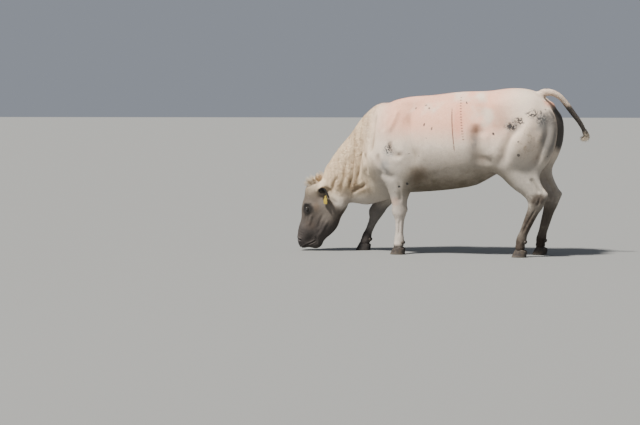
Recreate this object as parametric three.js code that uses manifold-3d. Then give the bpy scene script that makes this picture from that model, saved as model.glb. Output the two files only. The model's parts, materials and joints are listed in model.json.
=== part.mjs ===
// A life-size, still model of a grazing Belgian Blue cow, in millimetres, +Z up.
// She faces -X with her left side towards -Y, and stands on four feet with the
// head down, the far foreleg a step ahead and the tail lifted and swung out.
// The flesh is one smooth field made of named muscles, lofts and limbs. Trunk,
// neck and upper legs are meshed from it on one grid and parted with thin cuts.
// Head and lower legs are skinned from it with rings of rays round a bone.
import * as THREE from "three";
import { mergeVertices } from "three/addons/utils/BufferGeometryUtils.js";
import Module from "manifold-3d";

const wasm = await Module();
wasm.setup();

// Driving dimensions
const GAP = 0.3; // between nodes that touch
const FAR = 4000; // longer than the animal, for cutting blocks
const V = (x, y, z) => new THREE.Vector3(x, y, z);

// Where the neck, the head, the ears and the coronets part from the rest
const NECK_CUT = { at: V(-672, 0, 980), normal: V(-0.96, 0, 0.28) };
const HEAD_CUT = { at: V(-1010, 0, 560), normal: V(-0.725, 0, -0.688) };

// Joints of the legs: side is -1 on her left and 1 on her right
const LEGS = {
  foreleg_left: {
    side: -1,
    fore: true,
    shoulder: V(-505, 205, 860),
    elbow: V(-340, 215, 690),
    knee: V(-345, 185, 385),
    fetlock: V(-352, 182, 122),
    toe: V(-384, 184, 0),
  },
  foreleg_right: {
    side: 1,
    fore: true,
    shoulder: V(-550, 205, 840),
    elbow: V(-500, 212, 625),
    knee: V(-668, 188, 352),
    fetlock: V(-762, 186, 116),
    toe: V(-812, 188, 0),
  },
  hindleg_left: {
    side: -1,
    fore: false,
    hip: V(720, 160, 1080),
    stifle: V(560, 215, 880),
    hock: V(872, 180, 503),
    fetlock: V(742, 176, 148),
    toe: V(706, 178, 0),
  },
  hindleg_right: {
    side: 1,
    fore: false,
    hip: V(740, 160, 1080),
    stifle: V(590, 215, 875),
    hock: V(930, 180, 500),
    fetlock: V(850, 176, 140),
    toe: V(818, 178, 0),
  },
};
const CLAW = { length: 124, width: 50, high: 76, spread: 27 };

// Head: the left side is given, and side turns it over
const EYE = {
  at: V(-1232, 93, 388),
  radius: 21,
  out: V(-0.42, 0.9, 0.08),
  wide: 21,
  high: 12,
};
const EAR = {
  root: V(-1140, 88, 575),
  tip: V(-996, 204, 490),
  face: V(-0.34, 0.74, -0.58),
  wide: 60,
  thick: 8,
  stub: 34,
};
const NOSTRIL = V(-1342, 44, 92);
const MOUTH = { corner: V(-1186, 0, 92), front: V(-1318, 0, 26) };

// Tail, from the root over the rump and out to the far side
const TAIL = [
  V(845, 0, 1392),
  V(905, 0, 1426),
  V(975, 10, 1424),
  V(1036, 34, 1390),
  V(1080, 66, 1334),
  V(1140, 112, 1244),
  V(1200, 164, 1150),
  V(1238, 212, 1052),
];
const TAIL_GIRTH = [44, 38, 32, 29, 28, 26, 23, 19];

// Smooth curve through a few stations, [position, value, value, ...]
function stations(rows) {
  const last = rows.length - 1;
  return (s) => {
    let i = 0;
    while (i < last - 1 && s > rows[i + 1][0]) i += 1;
    const [here, next] = [rows[i], rows[i + 1]];
    const before = rows[Math.max(0, i - 1)];
    const after = rows[Math.min(last, i + 2)];
    const span = next[0] - here[0];
    const t = Math.min(1, Math.max(0, (s - here[0]) / span));
    const t2 = t * t;
    const t3 = t2 * t;
    return here.slice(1).map((a, k) => {
      const b = next[k + 1];
      const slopeA = ((b - before[k + 1]) / (next[0] - before[0])) * span;
      const slopeB = ((after[k + 1] - a) / (after[0] - here[0])) * span;
      const ends = a * (2 * t3 - 3 * t2 + 1) + b * (3 * t2 - 2 * t3);
      return ends + slopeA * (t3 - 2 * t2 + t) + slopeB * (t3 - t2);
    });
  };
}

// Distance fields
function blend(a, b, k) {
  const h = Math.max(k - Math.abs(a - b), 0) / k;
  return Math.min(a, b) - (h * h * k) / 4;
}

function carve(a, b, k) {
  return -blend(-a, b, k);
}

// A bone or muscle with a round section: from a to b, flattened sideways by flat
function limb(p, a, b, ra, rb, flat = 1) {
  const ax = b.x - a.x;
  const ay = b.y - a.y;
  const az = b.z - a.z;
  const px = p.x - a.x;
  const py = p.y - a.y;
  const pz = p.z - a.z;
  const share = (px * ax + py * ay + pz * az) / (ax * ax + ay * ay + az * az);
  const t = Math.min(1, Math.max(0, share));
  const dx = px - ax * t;
  const dy = (py - ay * t) / flat;
  const dz = pz - az * t;
  return (Math.hypot(dx, dy, dz) - (ra + (rb - ra) * t)) * Math.min(1, flat);
}

// An egg-shaped muscle, turned by tilt degrees about Y, top towards +X
function egg(p, c, r, tilt = 0) {
  const turn = (tilt * Math.PI) / 180;
  const x = p.x - c.x;
  const z = p.z - c.z;
  const u = (x * Math.cos(turn) - z * Math.sin(turn)) / r.x;
  const v = (p.y - c.y) / r.y;
  const w = (x * Math.sin(turn) + z * Math.cos(turn)) / r.z;
  const outer = Math.hypot(u, v, w);
  const slope = Math.hypot(u / r.x, v / r.y, w / r.z);
  return slope === 0 ? -Math.min(r.x, r.y, r.z) : (outer * (outer - 1)) / slope;
}

// Trunk: [x, top, bottom, half width, roundness of the section]
const trunkAt = stations([
  [-760, 1158, 640, 110, 2],
  [-640, 1290, 575, 190, 2],
  [-500, 1342, 545, 262, 2.1],
  [-300, 1360, 540, 318, 2.1],
  [-100, 1398, 556, 352, 2.15],
  [100, 1432, 574, 372, 2.2],
  [300, 1432, 612, 366, 2.25],
  [450, 1448, 690, 330, 2.2],
  [620, 1468, 800, 290, 2.1],
  [800, 1446, 860, 235, 2],
  [960, 1330, 900, 120, 2],
]);

function trunk(p) {
  const x = Math.min(960, Math.max(-760, p.x));
  const [top, bottom, wide, round] = trunkAt(x);
  const middle = bottom + (top - bottom) * 0.46;
  const high = p.z > middle ? top - middle : middle - bottom;
  const u = Math.abs(p.y) / wide;
  const w = Math.abs(p.z - middle) / high;
  const outward = Math.pow(Math.pow(u, round) + Math.pow(w, round), 1 / round);
  const section = (outward - 1) * Math.min(wide, high);
  const past = Math.abs(p.x - x);
  return past === 0 ? section : Math.hypot(Math.max(section, 0), past) + Math.min(section, 0);
}

// Neck: stations along its axis, [share, above the axis, below it, half width]
const NECK_ROOT = V(-470, 0, 1040);
const NECK_TOP = V(-1060, 0, 600);
const neckAt = stations([
  [-0.1, 262, 330, 190],
  [0.15, 256, 330, 176],
  [0.4, 248, 296, 146],
  [0.65, 212, 250, 124],
  [0.85, 164, 205, 114],
  [1.05, 120, 180, 100],
]);

function neckField(p) {
  const length = NECK_TOP.distanceTo(NECK_ROOT);
  const ux = (NECK_TOP.x - NECK_ROOT.x) / length;
  const uz = (NECK_TOP.z - NECK_ROOT.z) / length;
  const px = p.x - NECK_ROOT.x;
  const pz = p.z - NECK_ROOT.z;
  const along = px * ux + pz * uz;
  const share = Math.min(1.05, Math.max(-0.1, along / length));
  const off = px * uz - pz * ux;
  const [above, below, wide] = neckAt(share);
  const high = off > 0 ? above : below;
  const section = (Math.hypot(p.y / wide, off / high) - 1) * Math.min(wide, high);
  const past = Math.abs(along - share * length);
  return past === 0 ? section : Math.hypot(Math.max(section, 0), past) + Math.min(section, 0);
}

// Muscles of the trunk, one side: [centre, radii, tilt, blend]
const TRUNK_MUSCLES = [
  [V(-425, 165, 1104), V(120, 124, 232), 14, 90], // shoulder blade
  [V(-372, 236, 858), V(150, 90, 178), -8, 38], // triceps
  [V(-545, 148, 850), V(112, 118, 165), 20, 60], // point of the shoulder
  [V(-575, 0, 640), V(160, 138, 150), -18, 80], // brisket
  [V(-60, 120, 1310), V(380, 78, 96), 3, 50], // long back muscle
  [V(330, 125, 1345), V(300, 88, 92), 2, 50], // loin muscle
  [V(560, 255, 1290), V(62, 60, 62), 0, 90], // hook bone
  [V(700, 168, 1262), V(240, 158, 168), -6, 110], // rump muscle
  [V(868, 112, 1235), V(125, 88, 160), -24, 60], // pin bone and top of the buttock
];

// Thigh, one side
const THIGH_MUSCLES = [
  [V(572, 232, 985), V(118, 108, 205), 14, 46], // front of the thigh
  [V(752, 232, 1040), V(150, 132, 300), 20, 30], // outer thigh
  [V(925, 158, 1030), V(126, 124, 272), 10, 24], // buttock
  [V(790, 112, 930), V(190, 98, 240), 6, 60], // inner thigh
];

function muscles(p, list, start) {
  const q = V(p.x, Math.abs(p.y), p.z);
  return list.reduce((d, [centre, radii, tilt, k]) => blend(d, egg(q, centre, radii, tilt), k), start);
}

const between = (a, b, t) => a.clone().lerp(b, t);
const turned = (v, side) => V(v.x, v.y * side, v.z);

// A foreleg, above the hoof
function foreleg(p, leg) {
  const upper = (t, x = 0, y = 0, z = 0) => between(leg.elbow, leg.knee, t).add(V(x, y, z));
  const tendon = leg.knee.clone().add(V(22, 0, -30));
  let d = limb(p, leg.shoulder, leg.elbow, 128, 112, 0.8);
  d = blend(d, limb(p, upper(0, 38, 0, 40), upper(0.5), 84, 60, 0.9), 50);
  d = blend(d, limb(p, leg.elbow, leg.knee, 116, 58, 0.86), 50);
  d = blend(d, limb(p, upper(0.1, -72, 8), upper(0.74), 70, 44, 0.9), 34);
  d = blend(d, egg(p, leg.knee, V(66, 56, 74)), 24);
  d = blend(d, limb(p, leg.knee, leg.fetlock, 38, 33, 1.06), 30);
  d = blend(d, limb(p, tendon, leg.fetlock.clone().add(V(16, 0, 30)), 25, 23), 18);
  return foot(p, leg, d);
}

// Fetlock and pasterns: a round joint, then a short column to each claw
function foot(p, leg, start) {
  const joint = leg.fetlock.clone().add(V(4, 0, 0));
  const crown = between(leg.fetlock, leg.toe, 0.62).add(V(12, 0, 0));
  let d = blend(start, egg(p, joint, V(49, 45, 52)), 20);
  for (const apart of [-24, 24]) {
    const top = leg.fetlock.clone().add(V(0, apart * 0.5, 0));
    d = blend(d, limb(p, top, crown.clone().add(V(0, apart, 0)), 34, 37), 14);
  }
  return d;
}

// A hind leg from the stifle down, above the hoof
function hindleg(p, leg) {
  const shin = (t, x = 0, y = 0, z = 0) => between(leg.stifle, leg.hock, t).add(V(x, y, z));
  const below = (x, y, z) => leg.hock.clone().add(V(x, y, z));
  const point = below(82, 0, 42);
  let d = limb(p, leg.hip, leg.stifle, 170, 132, 0.72);
  d = blend(d, limb(p, leg.stifle, shin(0.55), 146, 92, 0.74), 50);
  d = blend(d, limb(p, shin(0.45), leg.hock, 96, 56, 0.78), 40);
  d = blend(d, limb(p, shin(0.2, 150, -22, 60), shin(0.74, 82, 0, 20), 124, 50, 0.66), 50);
  d = blend(d, limb(p, shin(0.66, 92, 0, 60), point, 34, 27), 34);
  d = blend(d, limb(p, point, below(34, 0, -56), 31, 34), 26);
  d = blend(d, egg(p, below(0, 0, 4), V(64, 52, 78), -20), 26);
  d = blend(d, limb(p, leg.hock, leg.fetlock, 46, 37, 0.95), 34);
  d = blend(d, limb(p, below(34, 0, -50), leg.fetlock.clone().add(V(18, 0, 30)), 30, 25), 18);
  return foot(p, leg, d);
}

function legField(p, leg) {
  const q = V(p.x, p.y * leg.side, p.z);
  return leg.fore ? foreleg(q, leg) : hindleg(q, leg);
}

// Head, on the midline and one side
function headField(p) {
  const q = V(p.x, Math.abs(p.y), p.z);
  let d = egg(q, V(-1168, 0, 545), V(98, 98, 112), -8); // brain case and poll
  d = blend(d, limb(q, V(-1192, 0, 520), V(-1214, 0, 380), 90, 90, 1.08), 40); // forehead
  d = blend(d, limb(q, V(-1222, 0, 380), V(-1282, 0, 170), 84, 62, 0.88), 50); // bridge of the nose
  d = blend(d, egg(q, V(-1216, 80, 400), V(56, 40, 46), -10), 30); // eye socket and brow
  d = blend(d, egg(q, EYE.at, V(29, 26, 26)), 12); // eyelids
  d = blend(d, limb(q, V(-1130, 58, 400), V(-1215, 44, 190), 80, 62, 0.7), 44); // cheek bones
  d = blend(d, limb(q, V(-1030, 0, 470), V(-1150, 0, 230), 100, 66, 0.8), 40); // flesh between the jaws
  d = blend(d, limb(q, V(-985, 54, 425), V(-1085, 42, 240), 92, 78, 0.56), 40); // jaw muscle
  d = blend(d, limb(q, V(-1062, 40, 255), V(-1160, 26, 104), 70, 50, 0.72), 44); // lower jaw
  d = blend(d, limb(q, V(-1262, 0, 190), V(-1290, 0, 104), 74, 66, 1.16), 44); // muzzle
  d = blend(d, egg(q, V(-1308, 40, 98), V(40, 36, 46), -10), 30); // rim of the nostril
  d = blend(d, egg(q, V(-1282, 0, 56), V(58, 70, 34), -22), 26); // upper lip
  d = blend(d, egg(q, V(-1196, 0, 62), V(70, 56, 44), 12), 26); // lower lip and chin
  d = blend(d, limb(q, V(-1130, 60, 560), between(EAR.root, EAR.tip, 0.3), 44, 30), 34); // root of the ear
  d = carve(d, egg(q, V(-1262, 110, 384), V(34, 20, 20), -20), 16); // hollow before the eye
  return d;
}

// Dewlap, from the throat to the brisket
function dewlap(p) {
  const d = limb(p, V(-870, 0, 500), V(-700, 0, 530), 60, 84, 0.5);
  return blend(d, limb(p, V(-700, 0, 545), V(-560, 0, 605), 96, 124, 0.62), 60);
}

// Udder, between the thighs
function udder(p) {
  return egg(V(p.x, Math.abs(p.y), p.z), V(655, 46, 745), V(112, 68, 74), -8);
}

function flesh(p) {
  let d = muscles(p, TRUNK_MUSCLES, trunk(p));
  d = blend(d, neckField(p), 90);
  d = blend(d, dewlap(p), 60);
  d = muscles(p, THIGH_MUSCLES, d);
  d = blend(d, udder(p), 36);
  for (const leg of Object.values(LEGS)) {
    d = blend(d, legField(p, leg), leg.fore ? 55 : 42);
  }
  d = blend(d, headField(p), 44);
  const cleft = egg(p, V(1062, 0, 1070), V(118, 24, 280), -8);
  d = carve(d, cleft, 60); // between the buttocks
  return d;
}

// Grid lines: [position, step], the step changing smoothly from row to row
function lines(rows) {
  const stepAt = stations(rows);
  const out = [rows[0][0]];
  while (out.at(-1) < rows.at(-1)[0]) out.push(out.at(-1) + stepAt(out.at(-1))[0]);
  return out;
}

// Meshes a field on a grid: one point in each cell that the surface crosses,
// one square across each grid edge that it crosses
function meshField(field, xs, ys, zs) {
  const [nx, ny, nz] = [xs.length, ys.length, zs.length];
  const at = (i, j, k) => i + nx * (j + ny * k);
  const corner = (i, j, k) => V(xs[i], ys[j], zs[k]);
  const value = new Float64Array(nx * ny * nz);
  for (let k = 0; k < nz; k += 1)
    for (let j = 0; j < ny; j += 1)
      for (let i = 0; i < nx; i += 1) {
        const first = i * j * k === 0;
        const rim = first || i === nx - 1 || j === ny - 1 || k === nz - 1;
        const d = field(corner(i, j, k));
        value[at(i, j, k)] = rim ? Math.max(d, 1) : d;
      }
  joinDiagonals(value, at, [nx, ny, nz]);
  const points = [];
  const cellPoint = new Int32Array(nx * ny * nz).fill(-1);
  const steps = [[1, 0, 0], [0, 1, 0], [0, 0, 1]];
  for (let k = 0; k < nz - 1; k += 1)
    for (let j = 0; j < ny - 1; j += 1)
      for (let i = 0; i < nx - 1; i += 1) {
        const sum = V(0, 0, 0);
        let crossings = 0;
        steps.forEach(([sx, sy, sz], axis) => {
          for (let n = 0; n < 4; n += 1) {
            const [u, v] = [n & 1, n >> 1];
            const [a, b, c] = axis === 0 ? [0, u, v] : axis === 1 ? [u, 0, v] : [u, v, 0];
            const v0 = value[at(i + a, j + b, k + c)];
            const v1 = value[at(i + a + sx, j + b + sy, k + c + sz)];
            if (v0 < 0 === v1 < 0) continue;
            const t = v0 / (v0 - v1);
            const far = corner(i + a + sx, j + b + sy, k + c + sz);
            sum.add(corner(i + a, j + b, k + c).lerp(far, t));
            crossings += 1;
          }
        });
        if (crossings === 0) continue;
        cellPoint[at(i, j, k)] = points.length;
        const cell = Math.min(xs[i + 1] - xs[i], ys[j + 1] - ys[j], zs[k + 1] - zs[k]);
        points.push(settle(field, sum.divideScalar(crossings), cell * 0.5));
      }
  const faces = [];
  const quad = (a, b, c, d) => {
    const acrossAC = points[a].distanceToSquared(points[c]);
    const acrossBD = points[b].distanceToSquared(points[d]);
    faces.push(...(acrossAC < acrossBD ? [a, b, c, a, c, d] : [b, c, d, b, d, a]));
  };
  for (let k = 0; k < nz - 1; k += 1)
    for (let j = 0; j < ny - 1; j += 1)
      for (let i = 0; i < nx - 1; i += 1)
        steps.forEach(([sx, sy, sz], axis) => {
          const v0 = value[at(i, j, k)];
          const v1 = value[at(i + sx, j + sy, k + sz)];
          if (v0 < 0 === v1 < 0) return;
          const [b, c] = [steps[(axis + 1) % 3], steps[(axis + 2) % 3]];
          const ring = [[0, 0], [1, 0], [1, 1], [0, 1]].map(([m, n]) => {
            const back = [0, 1, 2].map((q) => b[q] * m + c[q] * n);
            return cellPoint[at(i - back[0], j - back[1], k - back[2])];
          });
          if (v0 < 0) quad(...ring);
          else quad(...ring.reverse());
        });
  return solid(points, faces);
}

// Where two corners of a grid square are inside only across its diagonal, the
// surface would touch itself along an edge, so the nearest other corner joins them
function joinDiagonals(value, at, [nx, ny, nz]) {
  const steps = [[0, 1, 0], [0, 0, 1], [1, 0, 0]];
  let found = true;
  while (found) {
    found = false;
    for (let k = 0; k < nz - 1; k += 1)
      for (let j = 0; j < ny - 1; j += 1)
        for (let i = 0; i < nx - 1; i += 1)
          steps.forEach((b, n) => {
            const c = steps[(n + 1) % 3];
            const ring = [
              at(i, j, k),
              at(i + b[0], j + b[1], k + b[2]),
              at(i + b[0] + c[0], j + b[1] + c[1], k + b[2] + c[2]),
              at(i + c[0], j + c[1], k + c[2]),
            ];
            const inside = ring.map((corner) => value[corner] < 0);
            const touches = inside[0] === inside[2] && inside[1] === inside[3];
            if (!touches || inside[0] === inside[1]) return;
            const out = ring.filter((corner, m) => !inside[m]);
            const nearest = value[out[0]] < value[out[1]] ? out[0] : out[1];
            value[nearest] = -0.01;
            found = true;
          });
  }
}

// Slides a point down the field's slope on to its surface
function settle(field, point, reach) {
  const e = 1;
  const start = point.clone();
  for (let n = 0; n < 3; n += 1) {
    const d = field(point);
    const slope = V(
      field(V(point.x + e, point.y, point.z)) - d,
      field(V(point.x, point.y + e, point.z)) - d,
      field(V(point.x, point.y, point.z + e)) - d,
    ).divideScalar(e);
    const steep = slope.lengthSq();
    if (steep < 0.04) break;
    point.addScaledVector(slope, -d / steep);
  }
  const moved = point.distanceTo(start);
  return moved > reach ? start.lerp(point, reach / moved) : point;
}

// Solids
function solid(points, faces) {
  const vertProperties = new Float32Array(points.flatMap((p) => [p.x, p.y, p.z]));
  const triVerts = new Uint32Array(faces);
  return new wasm.Manifold(new wasm.Mesh({ numProp: 3, vertProperties, triVerts }));
}

function solidOf(geometry, matrix = new THREE.Matrix4()) {
  const bare = geometry.clone().applyMatrix4(matrix);
  bare.deleteAttribute("normal");
  bare.deleteAttribute("uv");
  const merged = mergeVertices(bare, 1e-3);
  return new wasm.Manifold(
    new wasm.Mesh({
      numProp: 3,
      vertProperties: merged.attributes.position.array,
      triVerts: new Uint32Array(merged.index.array),
    }),
  );
}

// A block that fills the space ahead of a plane, pulled back by gap
function ahead(plane, gap = 0) {
  const way = plane.normal.clone().normalize();
  const turn = new THREE.Quaternion().setFromUnitVectors(V(0, 0, 1), way);
  const middle = plane.at.clone().addScaledVector(way, FAR / 2 + gap);
  const matrix = new THREE.Matrix4().compose(middle, turn, V(1, 1, 1));
  return solidOf(new THREE.BoxGeometry(FAR, FAR, FAR), matrix);
}

const behind = (plane, gap = 0) => ahead({ at: plane.at, normal: plane.normal.clone().negate() }, gap);

function biggest(shape) {
  return shape.decompose().sort((a, b) => b.volume() - a.volume())[0];
}

// The space that belongs to a leg: below and outside a slanting plane
function legSpace(leg, gap) {
  const planes = leg.fore
    ? [
        { at: V(-400, 96, 498), normal: V(0, 0.62, -0.785) },
        { at: V(-170, 0, 700), normal: V(-0.94, 0, -0.34) },
        { at: V(-640, 0, 780), normal: V(0.6, 0, -0.8) },
        { at: V(0, 62, 0), normal: V(0, 1, 0) },
        { at: V(-850, 0, 0), normal: V(1, 0, 0) },
      ]
    : [
        { at: V(640, 62, 690), normal: V(0.16, 0.5, -0.85) },
        { at: V(455, 0, 850), normal: V(0.97, 0, -0.24) },
        { at: V(0, 66, 0), normal: V(0, 1, 0) },
      ];
  const onSide = ({ at, normal }) => ({ at: turned(at, leg.side), normal: turned(normal, leg.side) });
  return planes.map((plane) => ahead(onSide(plane), gap)).reduce((a, b) => a.intersect(b));
}

// A closed loft: each ring has the same number of points, the ends are capped
function loft(rings) {
  const points = rings.flat();
  const n = rings[0].length;
  const faces = [];
  for (let r = 0; r < rings.length - 1; r += 1)
    for (let i = 0; i < n; i += 1) {
      const [a, b] = [r * n + i, r * n + ((i + 1) % n)];
      faces.push(a, b, b + n, a, b + n, a + n);
    }
  const middleOf = (ring) => ring.reduce((sum, p) => sum.add(p), V(0, 0, 0)).divideScalar(n);
  const middles = [rings[0], rings.at(-1)].map(middleOf);
  const [first, last] = [points.length, points.length + 1];
  points.push(...middles);
  const end = (rings.length - 1) * n;
  for (let i = 0; i < n; i += 1) {
    faces.push(first, (i + 1) % n, i);
    faces.push(last, end + i, end + ((i + 1) % n));
  }
  const made = solid(points, faces);
  return made.volume() > 0 ? made : solid(points, faces.reverse());
}

// Skins a field round a bone: rings of rays, each ring a point of the bone, the way
// of the bone there, and lean, the angle from square to the bone towards its end
function skin(field, rings, sides, reach) {
  return loft(
    rings.map(({ at, way, lean = 0 }) => {
      const across = V(0, 1, 0);
      const over = way.clone().cross(across).normalize();
      return Array.from({ length: sides }, (_, i) => {
        const angle = (2 * Math.PI * i) / sides;
        const ray = across.clone().multiplyScalar(Math.cos(angle)).addScaledVector(over, Math.sin(angle));
        ray.multiplyScalar(Math.cos(lean)).addScaledVector(way, Math.sin(lean));
        return surfaceOn(field, at, ray, reach);
      });
    }),
  );
}

// The first point outside a field on a ray
function surfaceOn(field, from, ray, reach) {
  const on = (far) => from.clone().addScaledVector(ray, far);
  let outer = 12;
  while (outer < reach && field(on(outer)) < 0) outer += 12;
  let inner = outer - 12;
  for (let n = 0; n < 7; n += 1) {
    const middle = (inner + outer) / 2;
    if (field(on(middle)) < 0) inner = middle;
    else outer = middle;
  }
  return on(outer);
}

// A round or flat tube along a curve, with a girth at each of its points
function tube(route, girths, looks = {}) {
  const { sides = 10, steps = 12, flat = 1, grow = 0, lie = V(0, 1, 0) } = looks;
  const curve = new THREE.CatmullRomCurve3(route);
  const rings = [];
  for (let s = 0; s <= steps; s += 1) {
    const t = s / steps;
    const at = curve.getPoint(t);
    const way = curve.getTangent(t);
    const across = lie.clone().cross(way).normalize();
    const over = way.clone().cross(across).normalize();
    const place = t * (girths.length - 1);
    const low = Math.min(girths.length - 2, Math.floor(place));
    const girth = girths[low] + (girths[low + 1] - girths[low]) * (place - low) + grow;
    rings.push(
      Array.from({ length: sides }, (_, i) => {
        const angle = (2 * Math.PI * i) / sides;
        const point = at.clone().addScaledVector(across, girth * Math.cos(angle));
        return point.addScaledVector(over, girth * flat * Math.sin(angle));
      }),
    );
  }
  return loft(rings);
}

// One claw of a hoof: a half-moon sole, a wall that leans back, an open top
function claw(leg, inner) {
  const { length, width, high, spread } = CLAW;
  const outward = inner ? -1 : 1;
  const middle = leg.toe.y + spread * outward;
  const sides = 14;
  const rings = [0, 0.1, 0.55, 1.25].map((level) => {
    const lean = level * high * 0.36;
    const shrink = 1 - level * 0.2 - (level === 0 ? 0.03 : 0);
    return Array.from({ length: sides }, (_, i) => {
      const angle = (2 * Math.PI * i) / sides;
      const along = -Math.cos(angle) * length * 0.5;
      const blunt = 1 - 0.22 * Math.max(0, Math.cos(angle));
      const bulge = Math.sin(angle) * outward;
      const across = bulge * width * (bulge > 0 ? 0.56 : 0.42) * blunt * shrink * outward;
      const x = leg.toe.x + 18 + lean + along * shrink;
      return V(x, (middle + across) * leg.side, level * high);
    });
  });
  return loft(rings);
}

// The coronet: the plane between a foot and its claws, lower at the heel
const coronet = (leg) => ({ at: V(leg.toe.x, 0, CLAW.high - 6), normal: V(0.3, 0, 0.954) });

// A dewclaw behind the fetlock
function dewclaw(leg, inner, grow = 0) {
  const at = leg.fetlock.clone().add(V(38, inner ? -22 : 22, -18));
  const ball = new THREE.SphereGeometry(1, 8, 6);
  const matrix = new THREE.Matrix4().compose(
    turned(at, leg.side),
    new THREE.Quaternion().setFromAxisAngle(V(0, 1, 0), 0.5),
    V(15 + grow, 12 + grow, 20 + grow),
  );
  return solidOf(ball, matrix);
}

// The share of an ear's length that is part of the head
const EAR_START = 0.262;

// Axes of an ear: along it, across it and out of its cup
function earAxes(side) {
  const root = turned(EAR.root, side);
  const along = turned(EAR.tip, side).sub(root);
  const length = along.length();
  along.normalize();
  const out = turned(EAR.face, side);
  out.addScaledVector(along, -out.dot(along)).normalize();
  return { root, along, length, out, across: along.clone().cross(out).normalize() };
}

// A point of the ear: share along it, way from -1 to 1 across, on its face or back
function earPoint(side, share, way, back) {
  const { root, along, length, out, across } = earAxes(side);
  const widening = Math.sin(Math.min(1, (share - EAR_START) / 0.34) * Math.PI * 0.5);
  const past = Math.max(0, (share - 0.6) / 0.4);
  const taper = Math.sqrt(Math.max(0.004, 1 - past ** 2));
  const half = (EAR.stub + (EAR.wide - EAR.stub) * widening) * taper;
  const deep = EAR.stub * (1 - past * 0.72);
  const arc = way * 1.35;
  const open = Math.min(1, Math.max(0, (share - EAR_START) / 0.16));
  const thin = back ? 0 : EAR.thick * open;
  const rise = thin - deep * Math.cos(arc);
  const level = back ? rise : Math.max(rise, rise * open + (1 - open) * deep * Math.cos(arc));
  const shrink = 1 - (thin / half) * 0.5;
  return root
    .clone()
    .addScaledVector(along, share * length)
    .addScaledVector(across, half * Math.sin(arc) * shrink * 1.02)
    .addScaledVector(out, level);
}

function ear(side) {
  const shares = [EAR_START, 0.34, 0.42, 0.52, 0.64, 0.76, 0.87, 0.95, 1];
  const ways = [-1, -0.72, -0.4, 0, 0.4, 0.72, 1];
  const inner = ways.slice(1, -1).reverse();
  return loft(
    shares.map((share) => [
      ...ways.map((way) => earPoint(side, share, way, true)),
      ...inner.map((way) => earPoint(side, share, way, false)),
    ]),
  );
}

// An ear tag: a plain plate and a round stud under the ear
function earTag(side) {
  const at = earPoint(side, 0.6, 0.5, false);
  const { out, along } = earAxes(side);
  const turn = new THREE.Quaternion().setFromUnitVectors(V(0, 1, 0), out);
  const stud = solidOf(
    new THREE.CylinderGeometry(7, 7, 12, 12),
    new THREE.Matrix4().compose(at.clone().addScaledVector(out, 9), turn, V(1, 1, 1)),
  );
  const level = V(along.x, along.y, 0).normalize();
  const frame = new THREE.Matrix4().makeBasis(level, V(0, 0, 1).cross(level), V(0, 0, 1));
  const outline = new THREE.Shape();
  outline.moveTo(-9, 6);
  outline.lineTo(9, 6);
  outline.lineTo(12, -12);
  outline.lineTo(25, -20);
  outline.lineTo(27, -66);
  outline.lineTo(-27, -66);
  outline.lineTo(-25, -20);
  outline.lineTo(-12, -12);
  outline.closePath();
  const plate = new THREE.ExtrudeGeometry(outline, { depth: 3, bevelEnabled: false });
  plate.rotateX(Math.PI / 2);
  const sheet = solidOf(plate, frame.setPosition(at.clone().addScaledVector(out, 13)));
  return { stud, sheet };
}

// The opening between the eyelids, pointed at both corners
function lidOpening(side) {
  const outline = new THREE.Shape();
  outline.moveTo(-EYE.wide, 0);
  outline.quadraticCurveTo(0, EYE.high * 2, EYE.wide, 0);
  outline.quadraticCurveTo(0, -EYE.high * 2, -EYE.wide, 0);
  const shape = { depth: 60, bevelEnabled: false, curveSegments: 6 };
  const prism = new THREE.ExtrudeGeometry(outline, shape);
  const out = turned(EYE.out, side).normalize();
  const wide = V(-0.55, 0, -0.84).projectOnPlane(out).normalize();
  const frame = new THREE.Matrix4().makeBasis(wide, out.clone().cross(wide), out);
  return solidOf(prism, frame.setPosition(turned(EYE.at, side)));
}

function eyeball(side, grow = 0) {
  const ball = new THREE.SphereGeometry(EYE.radius + grow, 12, 8);
  return solidOf(ball, new THREE.Matrix4().setPosition(turned(EYE.at, side)));
}

function nostril(side) {
  const pit = new THREE.SphereGeometry(1, 12, 8);
  const turn = new THREE.Quaternion().setFromEuler(new THREE.Euler(0, 0.5, -0.6 * side));
  return solidOf(pit, new THREE.Matrix4().compose(turned(NOSTRIL, side), turn, V(26, 10, 17)));
}

// The slit between the lips: a thin U, open at the back, round the muzzle
function mouthSlit() {
  const reach = MOUTH.corner.distanceTo(MOUTH.front);
  const outline = new THREE.Shape();
  outline.moveTo(0, -130);
  outline.lineTo(reach + 60, -130);
  outline.lineTo(reach + 60, 130);
  outline.lineTo(0, 130);
  outline.lineTo(0, 46);
  outline.quadraticCurveTo(reach - 14, 46, reach - 14, 0);
  outline.quadraticCurveTo(reach - 14, -46, 0, -46);
  outline.closePath();
  const shape = { depth: 6, bevelEnabled: false, curveSegments: 6 };
  const slit = new THREE.ExtrudeGeometry(outline, shape);
  const forward = MOUTH.front.clone().sub(MOUTH.corner).normalize();
  const upward = forward.clone().cross(V(0, 1, 0)).normalize();
  const frame = new THREE.Matrix4().makeBasis(forward, upward.clone().cross(forward), upward);
  return solidOf(slit, frame.setPosition(MOUTH.corner));
}

// Flat, tapered locks fused to what they grow from
function lock(root, way, length, width, bend) {
  const tip = root.clone().addScaledVector(way, length).add(bend);
  const middle = root.clone().addScaledVector(way, length * 0.55);
  middle.addScaledVector(bend, 0.25);
  const lie = Math.abs(way.y) > 0.8 ? V(1, 0, 0) : V(0, 1, 0);
  const route = [root.clone().addScaledVector(way, -18), root, middle, tip];
  const girths = [width * 0.8, width, width * 0.72, 1.2];
  return tube(route, girths, { sides: 4, steps: 3, flat: 0.36, lie });
}

// Seeded draws between -1 and 1
function drawer(seed) {
  let state = seed;
  return () => {
    state = (state * 1664525 + 1013904223) % 4294967296;
    return (state / 4294967296) * 2 - 1;
  };
}

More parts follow.
